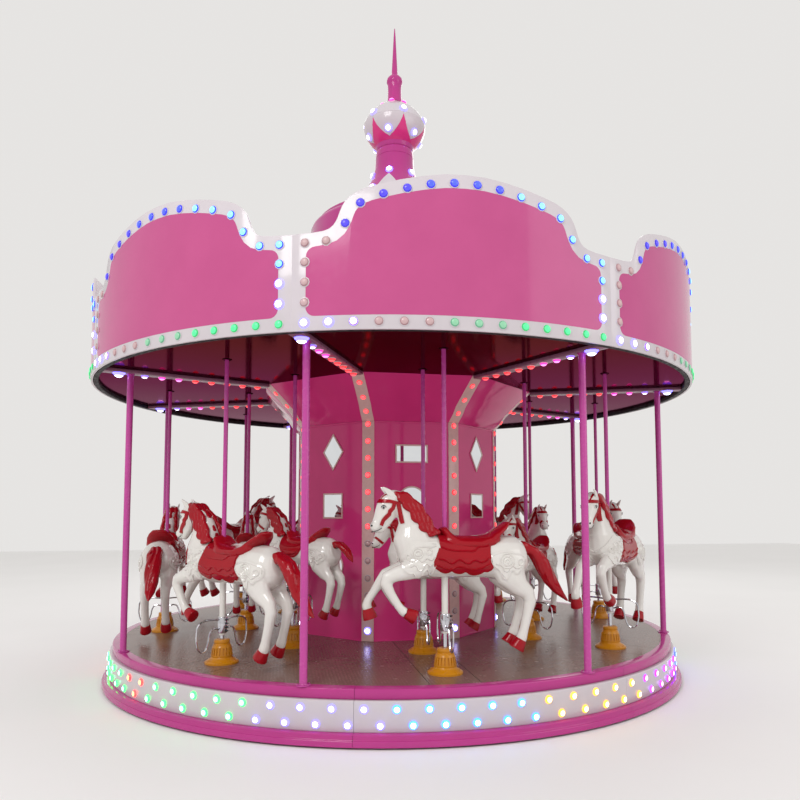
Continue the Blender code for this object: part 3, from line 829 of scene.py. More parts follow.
@dataclass
class Column:
    """The eight-sided centre housing with its mirrors, its lamp strips and its flared head."""

    shaft_radius: float = 0.930
    corner_radius: float = 0.937
    face_radius: float = 0.8848
    strip_width: float = 0.100
    head_foot: float = 2.100
    lamp_radius: float = 0.025
    lamp_height: float = 0.017
    first_lamp: float = 0.085
    lamp_step: float = 0.1385
    mirror_depth: float = 0.008

    FLARE = ((1.000, 2.165), (1.037, 2.220), (1.150, 2.330), (1.266, 2.4394))
    GLOWS = [Glow.WHITE] + [Glow.UNLIT] * 5 + [Glow.RED] * 7
    FLARE_LAMPS = ((2.175, 0.998, 0.58), (2.275, 1.085, 0.80), (2.375, 1.190, 0.80))
    MIRRORS = (((1.835, oblong(0.135, 0.075)), (1.455, circle(0.115, 32))),
               ((1.860, [(0, -0.155), (0.110, 0), (0, 0.155), (-0.110, 0)]), (1.410, oblong(0.105, 0.105)),
                (0.914, circle(0.115, 32))))

    def ring(self, radius: float, height: float) -> list[Point]:
        """List the corners of the housing's section at a height."""
        points = []
        for corner in range(SECTORS):
            turn = at_sector(corner - 0.5)
            for side in (-0.5, 0.5):
                spot = turn @ Vector((side * self.strip_width, -radius, 0))
                points.append((spot.x, spot.y, height))
        return points

    def shell(self, name: str, levels: Sequence[tuple[float, float]]) -> Piece:
        """Bridge the housing's section from level to level and close its ends."""
        rings = [wire(f"{name}_{index}", self.ring(radius, height), closed=True)
                 for index, (radius, height) in enumerate(levels)]
        piece = joined(name, rings)
        with editing(piece, "EDGE", whole=True):
            bpy.ops.mesh.bridge_edge_loops()
            bpy.ops.mesh.select_all(action="DESELECT")
            bpy.ops.mesh.select_non_manifold()
            bpy.ops.mesh.edge_face_add()
            bpy.ops.mesh.select_all(action="SELECT")
            bpy.ops.mesh.normals_make_consistent(inside=False)
        return piece

    def build(self) -> None:
        """Make the shaft, the head, the strips and the mirrors."""
        shaft = self.shell("column_shaft", [(self.shaft_radius, DECK_TOP + CLEAR),
                                            (self.shaft_radius, self.head_foot - CLEAR)])
        MAGENTA_LACQUER.on(shaft)
        with editing(shaft):
            choose(shaft, lambda middle, normal: abs(normal.z) < 0.2 and middle.xy.length < 0.90)
            bpy.ops.mesh.inset(thickness=0.012, use_individual=True)
            bpy.ops.mesh.inset(thickness=0.003, depth=-0.003, use_individual=True)
        finished(shaft, "turntable", "column", slot="magenta_panel")
        self.head()
        for sector in range(SECTORS):
            self.strip(sector)
            self.mirrors(sector)

    def head(self) -> None:
        """Flare the head out to the ceiling, with cream on its narrow corner faces."""
        head = self.shell("column_flare", [(self.corner_radius, self.head_foot + CLEAR), *self.FLARE])
        MAGENTA_LACQUER.on(head)
        head.data.materials.append(STRIP_CREAM.material())
        for face in head.data.polygons:
            turn = (math.degrees(math.atan2(face.center.x, -face.center.y)) + 22.5) % 45
            if min(turn, 45 - turn) < 2 and abs(face.normal.z) < 0.95:
                face.material_index = 1
        finished(head, "turntable", "column_head", slot="magenta_panel")

    def strip(self, sector: int) -> None:
        """Fix a cream strip and its lamps on one corner."""
        strip = started(f"column_strip_{sector}", "cube", size=1,
                        location=(0, -self.corner_radius + 0.006, (DECK_TOP + self.head_foot) / 2),
                        scale=(self.strip_width, 0.012, self.head_foot - DECK_TOP - 0.002))
        STRIP_CREAM.on(modified(strip, "BEVEL", width=0.003, segments=2))
        finished(placed(strip, at_sector(sector - 0.5)), "turntable", slot="white_gelcoat")
        foot = DECK_TOP + self.first_lamp
        spots = [(out_at(self.corner_radius - 0.001, foot + index * self.lamp_step), glow)
                 for index, glow in enumerate(self.GLOWS)]
        spots += [(out_at(radius, height, droop=droop), Glow.RED)
                  for height, radius, droop in self.FLARE_LAMPS]
        Lamp.fixed(f"column_lamps_{sector}", self.lamp_radius, self.lamp_height, spots, sector - 0.5)

    def mirrors(self, sector: int) -> None:
        """Hang a panel's framed mirrors."""
        hung = []
        for index, (height, outline) in enumerate(self.MIRRORS[sector % 2]):
            mirror = plate(f"mirror_{sector}_{index}", [(x, z + height) for x, z in outline],
                           self.mirror_depth)
            placed(mirror, Matrix.Translation((0, -(self.face_radius - 0.0045), 0)))
            STRIP_CREAM.on(mirror)
            mirror.data.materials.append(MIRROR.material())
            with editing(mirror):
                choose(mirror, lambda middle, normal: normal.y < -0.9)
                bpy.ops.mesh.inset(thickness=0.010)
                bpy.ops.mesh.inset(thickness=0.002, depth=-0.003)
                mirror.active_material_index = 1
                bpy.ops.object.material_slot_assign()
            hung.append(mirror)
        panel = joined(f"panel_mirrors_{sector}", hung)
        finished(placed(panel, at_sector(sector)), "turntable", slot="magenta_panel")


@dataclass
class Canopy:
    """The ceiling, the lamp ribs under it and the eaves ring."""

    rib_inner: float = 1.2705
    rib_outer: float = 2.5695
    rib_width: float = 0.100
    hole_radius: float = 0.026
    first_lamp: float = 1.36
    lamp_step: float = 0.130
    bulb_ring: float = Posts.ring + 0.085

    DISC = [(0.0, 2.4550), (2.6050, 2.4550), (2.6050, CEILING), (0.0, CEILING)]
    COLLAR = mm((26.5, 2439.6), (34, 2439.6), (34.5, 2437), (32, 2435), (26.5, 2435))
    EAVES = mm((2605, 2439.4), (2605, 2411), (2600, 2409.5), (2575, 2409.5), (2570, 2413), (2570, 2439.4))
    GLOWS = [Glow.RED] * 5 + [Glow.MAGENTA] * 2 + [Glow.LAVENDER]

    def build(self, stands: Sequence[Stand]) -> None:
        """Make the ceiling with a hole and a collar over each horse's stand, the ring and the ribs."""
        ceiling = bored(turned("ceiling_panels", self.DISC, 96), self.hole_radius, 2.45, stands)
        finished(DEEP_MAGENTA.on(ceiling), "turntable", "ceiling", slot="magenta_panel")
        collars = [placed(turned("collar", self.COLLAR, 20, closed=True), stand.place()) for stand in stands]
        finished(DEEP_MAGENTA.on(joined("pole_collars", collars)), "turntable", slot="pink_paint")
        ring = turned("eaves_ring", self.EAVES, 96, closed=True)
        finished(BLACK_RUBBER_AND_SEAM_SHADE.on(ring), "turntable", "canopy_frame", slot="pink_paint")
        for sector in range(SECTORS):
            self.rib(sector)

    def rib(self, sector: int) -> None:
        """Hang one rib with its lamps and the large bulb outside its post."""
        rib = started(f"lamp_rib_{sector}", "cube", size=1,
                      location=(0, -(self.rib_inner + self.rib_outer) / 2, (RIB_UNDERSIDE + CEILING) / 2),
                      scale=(self.rib_width, self.rib_outer - self.rib_inner,
                             CEILING - RIB_UNDERSIDE - 0.001))
        RIB_PAINT.on(modified(rib, "BEVEL", width=0.004, segments=2))
        finished(placed(rib, at_sector(sector - 0.5)), "turntable", slot="pink_paint")
        height, down = RIB_UNDERSIDE + 0.001, math.pi / 2
        Lamp.fixed(f"post_bulb_{sector}", 0.040, 0.034,
                   [(out_at(self.bulb_ring, height, droop=down), Glow.WHITE)], sector - 0.5)
        Lamp.fixed(f"rib_lamps_{sector}", 0.028, 0.024,
                   [(out_at(self.first_lamp + index * self.lamp_step, height, droop=down), glow)
                    for index, glow in enumerate(self.GLOWS)], sector - 0.5)


@dataclass
class RoundingBoards:
    """Eight curved boards round the canopy, each with an arched top, a pink field and lamps."""

    radius: float = 2.626
    thickness: float = 0.018
    foot: float = 2.4102
    border: float = 0.085
    corner: float = 0.055
    slices: int = 28
    lamp_radius: float = 0.027
    lamp_height: float = 0.0155
    side_share: float = 0.924
    foot_lamps: float = 2.457

    CREST = ((0.0, 3.347), (0.12, 3.343), (0.25, 3.325), (0.38, 3.300), (0.49, 3.274), (0.56, 3.256),
             (0.595, 3.243), (0.63, 3.226), (0.66, 3.205), (0.685, 3.180), (0.705, 3.150), (0.72, 3.115),
             (0.73, 3.085), (0.74, 3.060), (0.757, 3.033), (0.78, 3.013), (0.81, 3.002), (0.87, 2.994),
             (1.0, 2.990))
    TOP_LAMPS = ((0.924, 2.935), (0.799, 2.940), (0.690, 3.040), (0.604, 3.160), (0.473, 3.213),
                 (0.338, 3.248), (0.204, 3.276), (0.068, 3.290))
    TOP_GLOWS = [Glow.UNLIT] * 2 + [Glow.VIOLET] * 4 + [Glow.BLUE] * 4 + [Glow.CYAN] * 6
    FOOT_GLOWS = ([Glow.WHITE] * 2 + [Glow.LAVENDER] + [Glow.UNLIT] * 3 + [Glow.PALE_GREEN] * 3
                  + [Glow.GREEN] * 5)
    SIDE_LAMPS = (2.819, 2.700, 2.578)
    SIDE_GLOWS = ((Glow.UNLIT, Glow.UNLIT, Glow.UNLIT), (Glow.CYAN, Glow.WHITE, Glow.WHITE))

    def flat(self, name: str, inset: float = 0.0) -> Piece:
        """Cut the board's outline, or one inside it, from a flat sheet sliced for bending."""
        half = self.radius * SECTOR_ANGLE / 2 - 0.0006
        crest = [(-share * half, top) for share, top in reversed(self.CREST[1:])]
        crest += [(share * half, top) for share, top in self.CREST]
        outline = [(half, self.foot), (-half, self.foot), *crest]
        sheet = wire(name, [(x, 0, z) for x, z in outline], closed=True)
        with editing(sheet, "EDGE", whole=True):
            bpy.ops.mesh.edge_face_add()
            if inset:
                bpy.ops.mesh.select_mode(type="FACE")
                bpy.ops.mesh.inset(thickness=inset)
                bpy.ops.mesh.select_all(action="INVERT")
                bpy.ops.mesh.delete(type="FACE")
                self.round_corners(sheet)
            for cut in range(1, self.slices):
                across = half * (2 * cut / self.slices - 1) + 0.0001
                bpy.ops.mesh.select_all(action="SELECT")
                bpy.ops.mesh.bisect(plane_co=(across, 0, 0), plane_no=(1, 0, 0))
        return sheet

    def round_corners(self, sheet: Piece) -> None:
        """Round the four square corners of a sheet that is open in edit mode."""
        work = bmesh.from_edit_mesh(sheet.data)
        bpy.ops.mesh.select_mode(type="VERT")
        bpy.ops.mesh.select_all(action="DESELECT")
        reach = max(abs(vertex.co.x) for vertex in work.verts)
        for vertex in work.verts:
            vertex.select_set(abs(vertex.co.x) > reach - 0.002)
        bmesh.update_edit_mesh(sheet.data)
        bpy.ops.mesh.bevel(affect="VERTICES", offset=self.corner, segments=5)
        bpy.ops.mesh.select_mode(type="FACE")

    def bent(self, sheet: Piece, thickness: float, surface: float) -> Piece:
        """Give a flat sheet its thickness and bend it to the canopy's curve."""
        modified(sheet, "SOLIDIFY", thickness=thickness, offset=0.0)
        across, depths = ([vertex.co[axis] for vertex in sheet.data.vertices] for axis in (0, 1))
        thick = max(depths) - min(depths)
        arc = (max(across) - min(across)) / self.radius
        modified(sheet, "SIMPLE_DEFORM", deform_method="BEND", deform_axis="Z", angle=arc)
        ends = [v.co.y for v in sheet.data.vertices if abs(v.co.x) > 0.8 * self.radius * math.sin(arc / 2)]
        if sum(ends) < 0:
            placed(sheet, Matrix.Scale(-1, 4, (0, 1, 0)))
        with editing(sheet, whole=True):
            bpy.ops.mesh.normals_make_consistent(inside=False)
        return placed(sheet, Matrix.Translation((0, -surface + thick / 2, 0)))

    def build(self) -> None:
        """Make one board and copy it round the canopy."""
        board = WHITE_GELCOAT.on(self.bent(self.flat("board"), self.thickness, self.radius))
        modified(board, "BEVEL", width=0.003, segments=2, limit_method="ANGLE", angle_limit=math.radians(60))
        face = FIELD_PINK.on(self.bent(self.flat("field", self.border), 0.003, self.radius + 0.0012))
        pattern = joined("board", [face, board])
        lamps = self.lamps()
        for sector in range(SECTORS):
            finished(copied(pattern, f"arched_board_{sector}", at_sector(sector)), "turntable",
                     f"rounding_board_{sector}", slot="white_gelcoat")
            finished(copied(lamps, f"board_lamps_{sector}", at_sector(sector)), "turntable",
                     slot="white_gelcoat")
        for used in (pattern, lamps):
            bpy.data.objects.remove(used)

    def lamps(self) -> Piece:
        """Set a board's lamps along its border: over the arch, along the foot and up both sides."""
        arch = [(-share, height) for share, height in self.TOP_LAMPS] + list(reversed(self.TOP_LAMPS))
        spots = [(*spot, glow) for spot, glow in zip(arch, self.TOP_GLOWS)]
        last = len(self.FOOT_GLOWS) - 1
        spots += [((2 * index / last - 1) * self.side_share, self.foot_lamps, glow)
                  for index, glow in enumerate(self.FOOT_GLOWS)]
        for side, glows in zip((-1, 1), self.SIDE_GLOWS):
            spots += [(side * self.side_share, height, glow) for height, glow in zip(self.SIDE_LAMPS, glows)]
        return Lamp.row("board_lamps", self.lamp_radius, self.lamp_height,
                        [(out_at(self.radius + 0.001, height, share * SECTOR_ANGLE / 2), glow)
                         for share, height, glow in spots])


@dataclass
class Roof:
    """The roof behind the boards: eaves wall, ribbed cone and the drum under the tower."""

    rib_length: float = 1.88
    slope: float = math.atan2(0.690, 1.760)

    SHELL = mm((0, 4070), (730, 4070), (752, 4064), (790, 4026), (800, 4000), (800, 3505), (810, 3496),
               (2570, 2806), (2580, 2796), (2580, 2456), (2560, 2456), (2560, 2786), (780, 3486),
               (780, 4000), (730, 4050), (0, 4050))

    def build(self) -> None:
        """Turn the shell and lay its ribs."""
        shell = PINK_GELCOAT.on(turned("roof_shell", self.SHELL, 96))
        rib = started("roof_rib", "cube", size=1, location=(0, -1.69, 3.161),
                      scale=(0.030, self.rib_length, 0.012), rotation=(self.slope, 0, 0))
        modified(rib, "BEVEL", width=0.004, segments=2)
        ribs = [copied(rib, "roof_rib", at_sector(index / 2)) for index in range(2 * SECTORS)]
        bpy.data.objects.remove(rib)
        ridges = WHITE_GELCOAT.on(joined("roof_ribs", ribs))
        finished(joined("roof_cover", [ridges, shell]), "turntable", "roof")


@dataclass
class Tower:
    """The bell-footed tower, the onion lantern with its petals and lamps, and the spire."""

    petals: int = 6
    first: float = -0.5 * SECTOR_ANGLE
    relief: float = 0.0022
    lamp_radius: float = 0.030

    PETAL = ((0.0, 4.912), (0.036, 4.932), (0.078, 4.968), (0.112, 5.008), (0.136, 5.052), (0.155, 5.102))
    FLAME = ((0.0, 4.535), (0.040, 4.490), (0.076, 4.440), (0.112, 4.390), (0.150, 4.340), (0.204, 4.280),
             (0.262, 4.220), (0.300, 4.165))
    BELL = mm((0, 4848), (166, 4848), (174, 4846), (178, 4838), (180, 4820), (183.5, 4775), (180.5, 4772),
              (183.6, 4769), (190, 4660), (212, 4580), (232, 4530), (258, 4485), (298, 4402), (345, 4330),
              (395, 4280), (460, 4232), (538, 4186), (640, 4136), (722, 4101), (736, 4088), (738, 4070.4),
              (0, 4070.4))
    ONION = mm((0, 5342), (72, 5342), (84, 5332), (110, 5310), (160, 5278), (212, 5238), (250, 5196),
               (280, 5150), (297, 5105), (297, 5075), (282, 5020), (255, 4972), (225, 4930), (192, 4900),
               (166, 4880), (161, 4870), (161, 4848.4), (0, 4848.4))
    CAP = mm((72, 5341.5), (85, 5334.5), (112, 5312), (162, 5280), (214, 5240), (252, 5198), (282, 5151.5),
             (298.8, 5106), (296, 5101), (280, 5150), (212, 5238), (110, 5310), (72, 5341))
    COLLAR = mm((162, 4849), (173.5, 4849), (176.5, 4853), (180, 4870), (186, 4890), (183, 4893),
                (172, 4886))
    SPIRE = mm((0, 6125), (4, 6118), (10, 6030), (30, 5648), (35, 5630), (58, 5613), (73, 5594),
               (77.5, 5574), (77.5, 5556), (72, 5546), (67, 5528), (65, 5480), (67, 5400), (72, 5352),
               (78, 5346), (78, 5342.4), (0, 5342.4))
    BELL_LAMPS = ((0.2145, 4.580, 0.22, 0.0, Glow.WHITE), (0.300, 4.400, 0.45, 0.5, Glow.WHITE))
    ONION_LAMPS = ((0.286, 5.140, 0.30, 0.5, Glow.WHITE), (0.252, 4.968, -0.55, 0.0, Glow.WHITE),
                   (0.118, 5.305, 1.00, 0.0, Glow.MAGENTA))

    def crown(self, name: str, base: Piece, side: Sequence[Point]) -> Piece:
        """Raise a ring of like petals on a turned piece, from one petal's right side seen from the front."""
        outline = [*side, *((-x, z) for x, z in reversed(side[1:]))]
        layer = modified(copied(base, name), "DISPLACE", strength=self.relief, mid_level=0.0)
        cutter = placed(plate(f"{name}_outline", outline, 0.78), Matrix.Translation((0, -0.40, 0)))
        modified(layer, "BOOLEAN", object=cutter, operation="INTERSECT", solver="EXACT")
        bpy.data.objects.remove(cutter)
        ring = [copied(layer, name, Matrix.Rotation(self.first + index * 2 * math.pi / self.petals, 4, "Z"))
                for index in range(self.petals)]
        bpy.data.objects.remove(layer)
        return WHITE_GELCOAT.on(joined(name, ring))

    def lamps(self, name: str, height: float,
              rows: Sequence[tuple[float, float, float, float, Glow]]) -> None:
        """Ring a tier with lamps.

        Args:
            name: The lamps' name.
            height: How far a lamp stands out.
            rows: The rings by radius, height, lean, turn in petals and glow.
        """
        spots = [(out_at(radius, level, self.first + (index + turn) * 2 * math.pi / self.petals, -lean), glow)
                 for radius, level, lean, turn, glow in rows for index in range(self.petals)]
        Lamp.fixed(name, self.lamp_radius, height, spots)

    def build(self) -> None:
        """Turn the three tiers and set their petals and lamps."""
        bell = turned("bell_tower", self.BELL, 64)
        flames = self.crown("tower_flames", bell, self.FLAME)
        finished(joined("bell_tower", [flames, PINK_GELCOAT.on(bell)]), "turntable", "tower",
                 slot="magenta_panel")
        self.lamps("tower_lamps", 0.026, self.BELL_LAMPS)
        onion = turned("onion_lantern", self.ONION, 72)
        petals = self.crown("onion_petals", onion, self.PETAL)
        cap = WHITE_GELCOAT.on(turned("onion_cap", self.CAP, 72, closed=True))
        MAGENTA_LACQUER.on(onion)
        collar = PINK_GELCOAT.on(turned("onion_collar", self.COLLAR, 48, closed=True))
        finished(joined("onion_lantern", [petals, cap, collar, onion]), "turntable", "onion",
                 slot="white_gelcoat")
        self.lamps("onion_lamps", 0.028, self.ONION_LAMPS)
        finished(PINK_GELCOAT.on(turned("spire_needle", self.SPIRE, 40)), "turntable", "spire")


class Ring(Enum):
    """The two rings of horses: name, radius and size."""

    OUTER = ("outer", 2.035, 1.0)
    INNER = ("inner", 1.344, 0.80)


@dataclass
class HorsePattern:
    """A galloping horse of painted glass fibre, from its pole's tube end, facing -X.

    Stations give forward, up, half depth and half width, and a fifth value is the side.
    """

    belly: float = 0.365
    voxel: float = 0.009
    leg_side: float = 0.078
    bead: float = 0.0060
    keep: float = 0.58
    mane_steps: int = 20

    TRUNK = mm((-550, 480, 60, 60), (-530, 475, 105, 95), (-470, 476, 146, 132), (-380, 478, 150, 144),
               (-270, 482, 130, 136), (-150, 482, 126, 136), (-50, 485, 130, 138), (60, 494, 142, 141),
               (130, 512, 150, 138), (180, 554, 150, 126), (202, 618, 140, 102), (200, 695, 114, 76),
               (218, 752, 96, 65), (252, 800, 78, 56), (300, 852, 56, 46))
    HEAD = mm((289, 869, 46, 44), (329, 872, 58, 49), (359, 844, 70, 57), (380, 804, 74, 58),
              (405, 760, 62, 50), (429, 720, 46, 41), (449, 692, 38, 38), (465, 671, 35, 37),
              (474, 658, 22, 26))
    JAW = mm((349, 770, 36, 42), (381, 716, 30, 34), (413, 672, 22, 28), (431, 650, 15, 20))
    LEGS = (mm((150, 450, 80, 60), (250, 412, 62, 47), (335, 388, 48, 41), (392, 366, 44, 39),
               (400, 335, 39, 36), (365, 265, 30, 30), (318, 190, 27, 28), (290, 158, 31, 31),
               (272, 147, 34, 33)),
            mm((150, 460, 80, 60), (240, 420, 60, 45), (330, 392, 46, 40), (378, 374, 42, 38),
               (412, 328, 35, 34), (455, 265, 28, 29), (490, 215, 27, 28), (500, 182, 32, 31),
               (494, 155, 35, 33)),
            mm((-400, 460, 130, 70), (-425, 360, 100, 64), (-480, 295, 68, 50), (-535, 252, 50, 42),
               (-550, 200, 42, 37), (-530, 110, 33, 32), (-505, 15, 31, 31), (-492, -28, 37, 35),
               (-482, -50, 37, 36)),
            mm((-390, 460, 130, 70), (-415, 360, 98, 64), (-470, 290, 65, 50), (-535, 240, 46, 40),
               (-545, 190, 40, 36), (-525, 105, 31, 31), (-500, 20, 30, 30), (-487, -20, 36, 34),
               (-477, -42, 36, 35)))
    HOOVES = (mm((272, 147, 35, 35), (258, 141, 38, 37), (232, 128, 44, 42), (210, 117, 47, 44)),
              mm((494, 160, 36, 35), (490, 146, 39, 37), (481, 118, 45, 42), (474, 95, 48, 44)),
              mm((-487, -42, 38, 37), (-479, -56, 41, 39), (-462, -85, 49, 44), (-452, -102, 53, 46)),
              mm((-482, -34, 37, 36), (-475, -48, 40, 38), (-458, -76, 48, 43), (-448, -92, 52, 45)))
    TAILS = {Ring.OUTER: mm((-500, 540, 60), (-556, 542, 66), (-610, 514, 70), (-654, 456, 71),
                            (-690, 384, 69), (-728, 312, 62), (-780, 246, 44), (-842, 186, 10)),
             Ring.INNER: mm((-500, 545, 44), (-555, 562, 48), (-612, 552, 56), (-665, 510, 56),
                            (-708, 450, 40), (-740, 405, 8))}
    CREST = mm((341, 903), (274, 902), (206, 856), (152, 794), (114, 732), (82, 672), (46, 642))
    MANE_EDGE = mm((312, 864), (280, 834), (244, 782), (204, 726), (170, 680), (128, 646), (92, 630))
    SEAT = mm((34, 664, 12, 62), (16, 668, 28, 84), (-22, 622, 30, 104), (-73, 590, 30, 120),
              (-146, 580, 30, 128), (-220, 585, 30, 128), (-294, 606, 30, 122), (-359, 652, 28, 108),
              (-400, 684, 22, 86), (-428, 714, 12, 52))
    FLAP = mm((18, 590, 50, 98), (-40, 580, 52, 119), (-120, 574, 54, 126), (-220, 574, 54, 127),
              (-300, 590, 52, 122), (-345, 620, 42, 108))
    BLANKETS = {Ring.OUTER: mm((76, 700), (61, 640), (59, 550), (80, 502), (94, 460), (86, 436), (66, 420),
                               (30, 401), (6, 401), (-20, 412), (-46, 399), (-82, 394), (-113, 405),
                               (-147, 387), (-181, 382), (-212, 391), (-234, 405), (-259, 404), (-284, 430),
                               (-272, 460), (-265, 494), (-267, 545), (-286, 590), (-327, 635), (-362, 700)),
                Ring.INNER: mm((66, 700), (56, 590), (41, 520), (6, 470), (-44, 445), (-102, 440),
                               (-152, 452), (-197, 490), (-227, 550), (-272, 610), (-312, 700))}
    PIPES = {Ring.OUTER: (mm((56, 560), (29, 548), (-24, 536), (-107, 532), (-167, 534), (-188, 552),
                             (-240, 560), (-262, 564)),
                          mm((75, 486), (29, 476), (-16, 456), (-60, 478), (-120, 453), (-166, 473),
                             (-210, 460), (-260, 488)),
                          mm((80, 446), (26, 426), (-12, 418), (-50, 433), (-106, 426), (-154, 414),
                             (-202, 421), (-242, 436), (-268, 448))),
             Ring.INNER: (mm((48, 575), (16, 552), (-54, 538), (-152, 540), (-218, 568)),
                          mm((6, 490), (-44, 468), (-102, 464), (-152, 478), (-190, 512)))}
    STRAPS = (mm((447, 864), (447, 840), (371, 838), (317, 824), (281, 834), (281, 854), (319, 848),
                 (369, 860)),
              mm((325, 826), (299, 828), (287, 768), (275, 710), (297, 704), (311, 764)),
              mm((353, 834), (329, 826), (337, 798), (357, 776), (361, 758), (385, 734), (399, 722),
                 (411, 690), (433, 698), (421, 732), (405, 754), (383, 774), (381, 792), (359, 812)))
    NOSEBAND = mm((451, 758), (467, 744), (391, 682), (373, 698))
    CLOTHS = (mm((252, 564), (280, 530), (303, 491), (298, 446), (257, 400), (229, 400), (192, 350),
                 (151, 423), (118, 386), (91, 446), (74, 500), (70, 573), (140, 584), (211, 591)),
              mm((-275, 491), (-290, 437), (-330, 409), (-372, 350), (-409, 409), (-441, 384), (-459, 400),
                 (-501, 437), (-505, 482), (-470, 502), (-441, 509), (-376, 522), (-311, 512)))
    LACE = (mm((86, 566), (120, 556), (165, 560), (222, 548)),
            mm((98, 500), (118, 478), (146, 490), (172, 468), (204, 484), (232, 466), (262, 478)),
            mm((104, 462), (124, 440), (150, 458), (190, 412), (218, 446), (250, 436)),
            mm((-306, 446), (-336, 440), (-372, 398), (-406, 436), (-440, 418), (-486, 446)))
    ROSETTES = mm((-376, 466, 45), (-376, 466, 29), (-376, 466, 12), (-470, 456, 18), (200, 520, 32),
                  (200, 520, 16), (256, 500, 14), (130, 528, 16))

    NOSTRIL = mm((463, 710, 12, 10, 28), (475, 694, 16, 12, 30), (479, 678, 11, 10, 27))
    BROW = mm((425, 836, 10, 10, 40), (409, 826, 13, 12, 47), (391, 816, 10, 10, 48))
    EAR = mm((316, 852, 12, 12, 30), (334, 872, 20, 14, 36), (358, 894, 23, 13, 41), (382, 914, 18, 10, 43),
             (402, 930, 10, 7, 43), (416, 941, 3, 3, 42))
    FORELOCK = mm((319, 900, 16, 18, 12), (364, 897, 15, 17, 14), (401, 876, 13, 15, 16),
                  (427, 852, 7, 9, 14))
    LID = mm((-425, 48.5, 809), (-418, 57.5, 820), (-405, 59.5, 822), (-393, 57.5, 810))
    MOUTH = mm((-481, 20, 652), (-459, 34, 658), (-434, 36, 668), (-417, 37, 680))

    @staticmethod
    def sided(stations: Sequence[Point], side: int) -> list[Point]:
        """Put stations on one side, where the last value says how far off the middle they are."""
        return [(*station[:-1], side * station[-1]) for station in stations]

    def run(self, name: str, side: float, stations: Sequence[Point], sides: int = 12) -> Piece:
        """Draw a limb out from station to station.

        Args:
            name: The piece's name.
            side: How far off the middle the limb runs, where a station doesn't say.
            stations: The limb's sections.
            sides: How many sides a section has.

        Returns:
            The limb, closed at both ends.
        """
        spots = [Vector((-s[0], s[4] if len(s) > 4 else side, s[1])) for s in stations]
        slopes = []
        for index in range(len(spots)):
            step = spots[min(index + 1, len(spots) - 1)] - spots[max(index - 1, 0)]
            slopes.append(math.atan2(step.x, step.z))
        bpy.ops.mesh.primitive_circle_add(vertices=sides, radius=1.0, fill_type="NGON", location=spots[0])
        piece = bpy.context.active_object
        piece.name = name
        bpy.ops.object.transform_apply(location=True)
        with editing(piece, whole=True):
            depth, width = stations[0][2:4]
            bpy.ops.transform.resize(value=(depth, width, 1), center_override=spots[0])
            bpy.ops.transform.rotate(value=-slopes[0], orient_axis="Y", center_override=spots[0])
            for index in range(1, len(stations)):
                spot, (deeper, wider) = spots[index], stations[index][2:4]
                bpy.ops.mesh.extrude_region_move(TRANSFORM_OT_translate={"value": spot - spots[index - 1]})
                bpy.ops.transform.rotate(value=slopes[index - 1], orient_axis="Y", center_override=spot)
                bpy.ops.transform.resize(value=(deeper / depth, wider / width, 1), center_override=spot)
                bpy.ops.transform.rotate(value=-slopes[index], orient_axis="Y", center_override=spot)
                depth, width = deeper, wider
            bpy.ops.mesh.select_all(action="SELECT")
            bpy.ops.mesh.normals_make_consistent(inside=False)
        return piece

    def melted(self, name: str, pieces: Sequence[Piece], voxel: float, smooth: int,
               keep: float = 1.0) -> Piece:
        """Melt overlapping pieces into one smooth skin.

        Args:
            name: The skin's name.
            pieces: What it is melted from.
            voxel: The size of a face.
            smooth: How many times it is smoothed.
            keep: The share of its faces that is kept.

        Returns:
            The skin.
        """
        piece = joined(name, pieces)
        modified(piece, "REMESH", mode="VOXEL", voxel_size=voxel)
        modified(piece, "SMOOTH", factor=0.5, iterations=smooth)
        return modified(piece, "DECIMATE", ratio=keep) if keep < 1 else piece

    def relief(self, name: str, body: Piece, outlines: Sequence[Sequence[Point]], proud: float) -> Piece:
        """Raise a layer on the body inside outlines seen from the side."""
        layer = modified(copied(body, name), "DISPLACE", strength=proud, mid_level=0.0)
        cutter = joined(f"{name}_outline", [plate(name, [(-forward, up) for forward, up in outline], 0.5)
                                            for outline in outlines])
        modified(layer, "BOOLEAN", object=cutter, operation="INTERSECT", solver="EXACT")
        bpy.data.objects.remove(cutter)
        return layer

    def beaded(self, name: str, body: Piece, points: Sequence[Point], radius: float,
               closed: bool = False) -> Piece:
        """Lay a raised bead on both flanks of the body.

        Args:
            name: The bead's name.
            body: What it lies on.
            points: Its line, forward and up, seen from the side.
            radius: The bead's radius.
            closed: True for a ring.

        Returns:
            Both flanks' beads.
        """
        beads = []
        for side in (-1, 1):
            line = rod(name, [(-forward, side * 0.4, up) for forward, up in points], 0.0, closed)
            modified(line, "SHRINKWRAP", target=body, wrap_method="PROJECT", use_project_y=True,
                     use_positive_direction=side < 0, use_negative_direction=side > 0)
            with editing(line, "VERT"):
                work = bmesh.from_edit_mesh(line.data)
                for vertex in work.verts:
                    vertex.select_set(abs(vertex.co.y) > 0.3)
                bmesh.update_edit_mesh(line.data)
                bpy.ops.mesh.delete(type="VERT")
            bpy.ops.object.convert(target="CURVE")
            line = bpy.context.active_object
            line.data.bevel_depth = radius
            line.data.bevel_resolution = 0
            line.data.use_fill_caps = True
            bpy.ops.object.convert(target="MESH")
            beads.append(bpy.context.active_object)
        return joined(name, beads)

    def side_of(self, leg: int) -> float:
        """Say how far off the middle a leg stands: they take turns left and right."""
        return -self.leg_side if leg % 2 == 0 else self.leg_side

